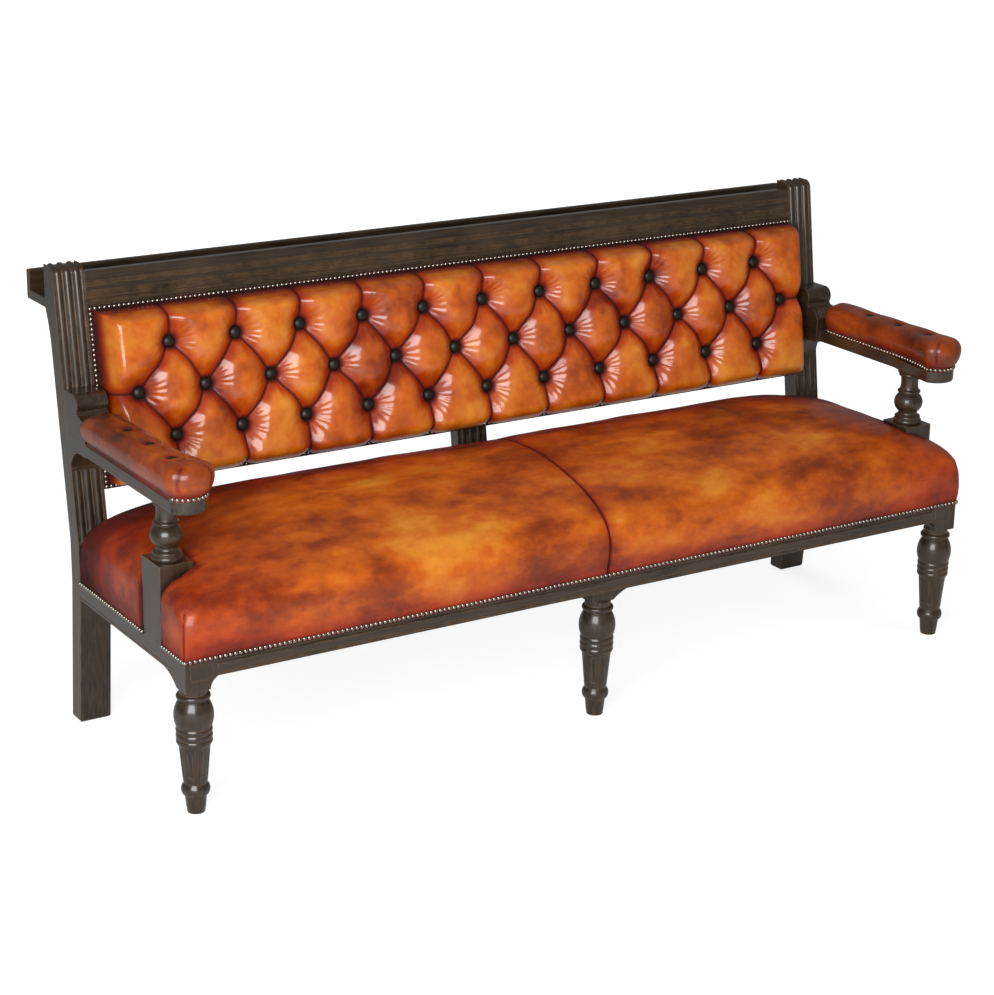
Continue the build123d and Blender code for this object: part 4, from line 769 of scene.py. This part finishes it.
# An arc through three points, which are taken as complex numbers
def arcThrough(a, b, c, count):
    a, b, c = (complex(*q) for q in (a, b, c))
    share = (c - a) / (b - a)
    centre = a + (b - a) * (share - abs(share) ** 2) / 2j / share.imag
    start, middle, end = np.angle([a - centre, b - centre, c - centre])
    turn = (end - start) % math.tau
    if (middle - start) % math.tau > turn:
        turn -= math.tau
    arc = centre + (a - centre) * np.exp(1j * turn * np.arange(count + 1) / count)
    return list(zip(arc.real, arc.imag))


# Points round the right arm: outer side to the nose, back along the inner side, rear
def armLoop(grow, finer=1):
    straight, nose, flare, rounding, end = (count * finer for count in arm["counts"])
    bow = arm["bow"] * (arm["noseWidth"] + 2 * grow) / arm["noseWidth"]
    outer = arm["outer"] + grow
    noseInner = arm["outer"] - arm["noseWidth"] - grow
    waist = arm["outer"] - arm["waist"] - grow
    tip = arm["noseTip"] - grow
    rear = arm["rear"] + min(grow, 0)
    corner = tip + bow
    flareEnd = arm["noseTip"] + arm["bow"] + arm["flare"]
    mid = ((noseInner + waist) / 2, (corner + flareEnd) / 2)
    length = math.hypot(waist - noseInner, flareEnd - corner)
    hollow = (mid[0] + (flareEnd - corner) / length * arm["flareHollow"],
              mid[1] - (waist - noseInner) / length * arm["flareHollow"])
    loop = [(outer, rear + (corner - rear) * i / straight) for i in range(straight)]
    loop += arcThrough((outer, corner), ((outer + noseInner) / 2, tip), (noseInner, corner),
                       nose)[:-1]
    loop += arcThrough((noseInner, corner), hollow, (waist, flareEnd), flare)[:-1]
    run = (arm["outer"] + grow - waist) / 2
    turn = rear - arm["rearRound"]
    plain = straight - flare - rounding
    loop += [(waist, flareEnd + (turn - flareEnd) * i / plain) for i in range(plain)]
    # An arc leaves its corner by 0.293 of the radius
    loop += arcThrough((waist, turn), (waist + 0.293 * run, rear - 0.293 * arm["rearRound"]),
                       (waist + run, rear), rounding)[:-1]
    loop += [(waist + run + (outer - waist - run) * i / end, rear) for i in range(end)]
    return np.array(loop)


# The skin of a right pad, closed by a crown filled across the arm from rear to nose
def padSkin():
    points, loops = stackLoops(arm["rows"], armLoop)
    faces = bandFaces(loops)
    top = loops[-1]
    straight, nose, end = arm["counts"][0], arm["counts"][1], arm["counts"][4]
    tip, innerRear = straight + nose // 2, 2 * straight + nose
    outerSide, innerSide = top[:tip + 1], top[innerRear:tip - 1:-1]
    rows = [[top[0]] + top[:innerRear:-1] + [top[innerRear]]]
    for a, b in zip(outerSide[1:-1], innerSide[1:]):
        row = [a]
        for k in range(1, end):
            share = k / end
            pa, pb = points[a], points[b]
            lift = (arm["crown"] - pa[2]) * math.sin(math.pi * share) ** arm["crownPower"]
            row.append(len(points))
            points.append((pa[0] + (pb[0] - pa[0]) * share, pa[1] + (pb[1] - pa[1]) * share,
                           pa[2] + lift))
        rows.append(row + [b])
    for lower, upper in zip(rows, rows[1:]):
        faces += [(lower[k], upper[k], upper[k + 1], lower[k + 1]) for k in range(end)]
    faces += [(rows[-1][k], top[tip], rows[-1][k + 1]) for k in range(end)]
    faces.append(tuple(loops[0][::-1]))
    return np.array(points), faces


def makePad(side, name):
    points, faces = padSkin()
    x, y, z = points.T.copy()
    # Painted shade, darker low down on the pad
    paintedShade = lighten(z, *arm["lowShade"])
    high = rise(z, *arm["dimpleRise"])
    # A dimple with small puckers at each button, and painted shade in it
    depth, count, place, width = arm["puckers"]
    dark, darkWidth = arm["buttonShade"]
    for by in arm["buttons"]:
        span = np.hypot(x - arm["buttonX"], y - by)
        z -= high * sum(sink * bell(span, reach) for sink, reach in arm["dimple"])
        turn = np.arctan2(y - by, x - arm["buttonX"])
        z += high * depth * np.sin(turn * count) * bell(span - place, width)
        paintedShade *= 1 - dark * bell(span, darkWidth)
    # The hide is gathered round the nose, with painted shade in the gathers
    turn = np.arctan2(arm["noseCentre"][1] - y, x - arm["noseCentre"][0])
    gather = sum(bell(turn - place, arm["gatherWidth"]) for place in arm["gathers"])
    gather *= rise(-y, *arm["noseFrom"]) * rise(z, *arm["gatherRise"])
    gather *= 1 - rise(z, *arm["gatherFall"])
    x -= np.cos(turn) * arm["gatherDepth"] * gather
    y += np.sin(turn) * arm["gatherDepth"] * gather
    paintedShade *= 1 - arm["gatherShade"] * gather
    depth, *waves = arm["wave"]
    z += rise(z, *arm["waveRise"]) * depth * wander(x, y, *waves)
    # The stuffing thins out over the rear edge
    rearEdge = (1 - rise(arm["rear"] - y, 0, arm["rearReach"])) ** arm["rearPower"]
    z -= rise(z, *arm["rearRise"]) * arm["rearThin"] * rearEdge
    if side > 0:
        faces = [f[::-1] for f in faces]
    return meshPiece(name, np.stack([x * side, y, z], axis=-1) * mm, faces, leathers["arms"],
                     paintedShade)


leftPad = makePad(-1, "left_pad_leather")
rightPad = makePad(1, "right_pad_leather")
print("arm pads made")


# Domed studs set on points, each facing along its own direction
def studTree(name):
    tree = bpy.data.node_groups.new(name, "GeometryNodeTree")
    for label, kind in (("Geometry", "Geometry"), ("Radius", "Float"), ("Height", "Float"),
                        ("Segments", "Int"), ("Rings", "Int"), ("Material", "Material")):
        tree.interface.new_socket(name=label, in_out="INPUT", socket_type="NodeSocket" + kind)
    tree.interface.new_socket(name="Geometry", in_out="OUTPUT",
                              socket_type="NodeSocketGeometry")
    given = addNode(tree, "NodeGroupInput").outputs
    ball = addNode(tree, "GeometryNodeMeshUVSphere", {
        "Segments": given["Segments"], "Rings": given["Rings"], "Radius": 1.0})
    size = addNode(tree, "ShaderNodeCombineXYZ", {
        "X": given["Radius"], "Y": given["Radius"], "Z": given["Height"]})
    head = addNode(tree, "GeometryNodeTransform", {"Geometry": ball, "Scale": size})
    facing = addNode(tree, "GeometryNodeInputNamedAttribute", {"Name": "facing"},
                     data_type="FLOAT_VECTOR")
    turned = addNode(tree, "FunctionNodeAlignRotationToVector", {"Vector": facing}, axis="Z")
    dots = addNode(tree, "GeometryNodeMeshToPoints", {"Mesh": given["Geometry"]})
    placed = addNode(tree, "GeometryNodeInstanceOnPoints", {
        "Points": dots, "Instance": head, "Rotation": turned})
    solid = addNode(tree, "GeometryNodeRealizeInstances", {"Geometry": placed})
    smooth = addNode(tree, "GeometryNodeSetShadeSmooth", {"Geometry": solid})
    done = addNode(tree, "GeometryNodeSetMaterial", {
        "Geometry": smooth, "Material": given["Material"]})
    addNode(tree, "NodeGroupOutput", {"Geometry": done})
    return tree


studs = studTree("stud_heads")


def setStuds(name, places, facings, sizes, material):
    data = bpy.data.meshes.new(name + "_places")
    data.from_pydata([tuple(q) for q in places], [], [])
    data.attributes.new("facing", "FLOAT_VECTOR", "POINT").data.foreach_set(
        "vector", np.asarray(facings, dtype=np.float32).ravel())
    piece = addObject(name, data)
    modifier = piece.modifiers.new("studs", "NODES")
    modifier.node_group = studs
    values = {**sizes, "Material": material}
    for item in studs.interface.items_tree:
        if item.in_out == "INPUT" and item.name in values:
            modifier[item.identifier] = values[item.name]
    seen = piece.evaluated_get(bpy.context.evaluated_depsgraph_get())
    made = bpy.data.meshes.new_from_object(seen)
    piece.modifiers.clear()
    piece.data = made
    made.name = name
    return piece


# Close nails in millimetres: back is the inset at the ends and at the edges, seatSpans
# run along each side before and behind the arm support, padEnd is bare at a row's ends
nails = {
    "size": {"Radius": 4.4 * mm, "Height": 3.4 * mm, "Segments": 10, "Rings": 6},
    "pitch": 10.0, "back": (4.6, 5), "backSunk": 0.1, "seatZ": 307.0,
    "seatFront": (915, -336), "seatSide": 917, "seatSpans": ((-331, -241), (-154, 136)),
    "padZ": 603.9, "padGrow": -0.1, "padEnd": 4, "finer": 10}
buttons = {
    "back": {"Radius": 13.0 * mm, "Height": 9.5 * mm, "Segments": 28, "Rings": 14},
    "pad": {"Radius": 8.0 * mm, "Height": 4.0 * mm, "Segments": 20, "Rings": 10},
    "backSunk": 0.2, "padZ": 660.3}


def evenly(start, end):
    count = max(2, round(math.dist(start, end) / nails["pitch"]))
    return [tuple(s + (e - s) * i / count for s, e in zip(start, end)) for i in range(count)]


def setBackStuds():
    rake = math.radians(back["rake"])
    facing = (0, -math.cos(rake), math.sin(rake))
    insetX, insetUp = nails["back"]
    reach, low, high = back["halfWidth"] - insetX, back["low"] + insetUp, back["high"] - insetUp
    corners = [(-reach, low), (reach, low), (reach, high), (-reach, high)]
    places = [place for i in range(4) for place in evenly(corners[i], corners[(i + 1) % 4])]
    nailPlaces = [backPlace(*place, back["borderLift"] - nails["backSunk"]) for place in places]
    buttonPlaces = [backPlace(*place, back["button"] - buttons["backSunk"])
                    for row in backButtons() for place in row]
    return (setStuds("back_nail_heads", nailPlaces, [facing] * len(nailPlaces),
                     nails["size"], nickel),
            setStuds("back_button_heads", buttonPlaces, [facing] * len(buttonPlaces),
                     buttons["back"], buttonLeather))


def setSeatNails():
    frontX, frontY = nails["seatFront"]
    runs = [((-frontX, frontY), (frontX, frontY), (0, -1, 0))]
    runs += [((side * nails["seatSide"], start), (side * nails["seatSide"], end), (side, 0, 0))
             for side in (-1, 1) for start, end in nails["seatSpans"]]
    places, facings = [], []
    for start, end, facing in runs:
        row = evenly(start, end) + [end]
        places += [(px * mm, py * mm, nails["seatZ"] * mm) for px, py in row]
        facings += [facing] * len(row)
    return setStuds("seat_nail_heads", places, facings, nails["size"], nickel)


# Nails from the nose along the inner side to the rear corner, and three buttons on top
def setPadStuds(side, word):
    finer, padEnd = nails["finer"], nails["padEnd"]
    straight, nose = arm["counts"][0] * finer, arm["counts"][1] * finer
    path = armLoop(nails["padGrow"], finer)[straight:2 * straight + nose]
    run = np.concatenate([[0], np.cumsum(np.linalg.norm(np.diff(path, axis=0), axis=1))])
    count = round((run[-1] - 2 * padEnd) / nails["pitch"])
    marks = np.linspace(padEnd, run[-1] - padEnd, count + 1)
    (px, py), (nextX, nextY) = ([np.interp(at, run, path[:, k]) for k in (0, 1)]
                                for at in (marks, marks + 2))
    facings = [(side * -dy, dx, 0) for dx, dy in zip(nextX - px, nextY - py)]
    places = [(side * a * mm, b * mm, nails["padZ"] * mm) for a, b in zip(px, py)]
    spots = [(side * arm["buttonX"] * mm, by * mm, buttons["padZ"] * mm)
             for by in arm["buttons"]]
    return (setStuds(word + "_pad_nail_heads", places, facings, nails["size"], nickel),
            setStuds(word + "_pad_button_heads", spots, [(0, 0, 1)] * len(spots),
                     buttons["pad"], buttonLeather))


backNails, backButtonPiece = setBackStuds()
seatNails = setSeatNails()
leftNails, leftButtons = setPadStuds(-1, "left")
rightNails, rightButtons = setPadStuds(1, "right")
print("nails and buttons set")

# The material slot and the CAD node that each piece stands for
standIns = {
    "tan_leather": ((backPiece, "back_cushion"), (seatPiece, "seat_cushion"),
                    (leftPad, "left_arm_pad"), (rightPad, "right_arm_pad")),
    "nickel_nails": ((backNails, "back_nails"), (seatNails, "seat_nails"),
                     (leftNails, "left_arm_nails"), (rightNails, "right_arm_nails")),
    "dark_buttons": ((backButtonPiece, "back_buttons"), (leftButtons, "left_arm_buttons"),
                     (rightButtons, "right_arm_buttons"))}
for slotName, pieces in standIns.items():
    for piece, node in pieces:
        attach(piece, "root")
        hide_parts(node)

# Plain pale painted floor under a white room. Seen by the camera the floor shines
# nearly white, a little less near the bench so that its shadow stays: distance and
# strength of that glow, near and far.
stage = {
    "halfSize": 30, "floor": "#bcbcbc", "bounce": "#dfdedd", "glow": (1.2, 4.5, 0.79, 1.0),
    "room": "#ffffff", "roomLight": 0.17, "roomSeen": 1.0}


def makeStage():
    half = stage["halfSize"]
    data = bpy.data.meshes.new("floor")
    data.from_pydata([(-half, -half, 0), (half, -half, 0), (half, half, 0), (-half, half, 0)],
                     [], [(0, 1, 2, 3)])
    floor = addObject("floor", data)
    material, tree, place = newMaterial("pale_floor")
    plain, bounce = (addNode(tree, "ShaderNodeBsdfDiffuse", {"Color": stage[k]})
                     for k in ("floor", "bounce"))
    away = addNode(tree, "ShaderNodeVectorMath", {0: place}, operation="LENGTH")
    near, far, nearGlow, farGlow = stage["glow"]
    strength = addNode(tree, "ShaderNodeMapRange", {
        "Value": away, 1: near, 2: far, 3: nearGlow, 4: farGlow})
    glow = addNode(tree, "ShaderNodeEmission", {"Color": "#ffffff", "Strength": strength})
    shining = addNode(tree, "ShaderNodeAddShader", {0: plain, 1: glow})
    seen = addNode(tree, "ShaderNodeLightPath").outputs["Is Camera Ray"]
    mixed = addNode(tree, "ShaderNodeMixShader", {0: seen, 1: bounce, 2: shining})
    addNode(tree, "ShaderNodeOutputMaterial", {"Surface": mixed})
    data.materials.append(material)
    world = bpy.data.worlds.new("studio")
    bpy.context.scene.world = world
    world.use_nodes = True
    tree = world.node_tree
    tree.nodes.clear()
    seen = addNode(tree, "ShaderNodeLightPath").outputs["Is Camera Ray"]
    soft, clear = (addNode(tree, "ShaderNodeBackground", {
        "Color": stage["room"], "Strength": stage[k]}) for k in ("roomLight", "roomSeen"))
    mixed = addNode(tree, "ShaderNodeMixShader", {0: seen, 1: soft, 2: clear})
    addNode(tree, "ShaderNodeOutputWorld", {"Surface": mixed})


# Place, size, power and whether polished faces mirror it: only the tall window on the
# left shows as glare, the other lamps are as soft as the walls of a room
lamps = {
    "window": ((-2.95, -2.95, 1.9), (2.7, 2.2), 150, True),
    "rear": ((0.6, 3.9, 2.0), (2.6, 1.3), 44, False),
    "right": ((2.5, -3.4, 1.7), (1.2, 1.2), 12, False),
    "top": ((0.3, -0.2, 3.3), (2.8, 1.0), 16, False),
    "front": ((0.2, -4.8, 0.35), (2.8, 0.5), 42, False)}
lampAim = (0.1, 0.0, 0.45)


def makeLamps():
    for name, (place, size, power, mirrored) in lamps.items():
        data = bpy.data.lights.new(name, "AREA")
        data.shape = "RECTANGLE"
        data.size, data.size_y = size
        data.energy = power
        lamp = addObject(name, data)
        lamp.location = place
        lamp.visible_glossy = mirrored
        aim = Vector(lampAim) - Vector(place)
        lamp.rotation_euler = aim.to_track_quat("-Z", "Y").to_euler()


makeStage()
makeLamps()
bpy.context.scene.view_settings.view_transform = "Standard"
print("stage and lamps made")
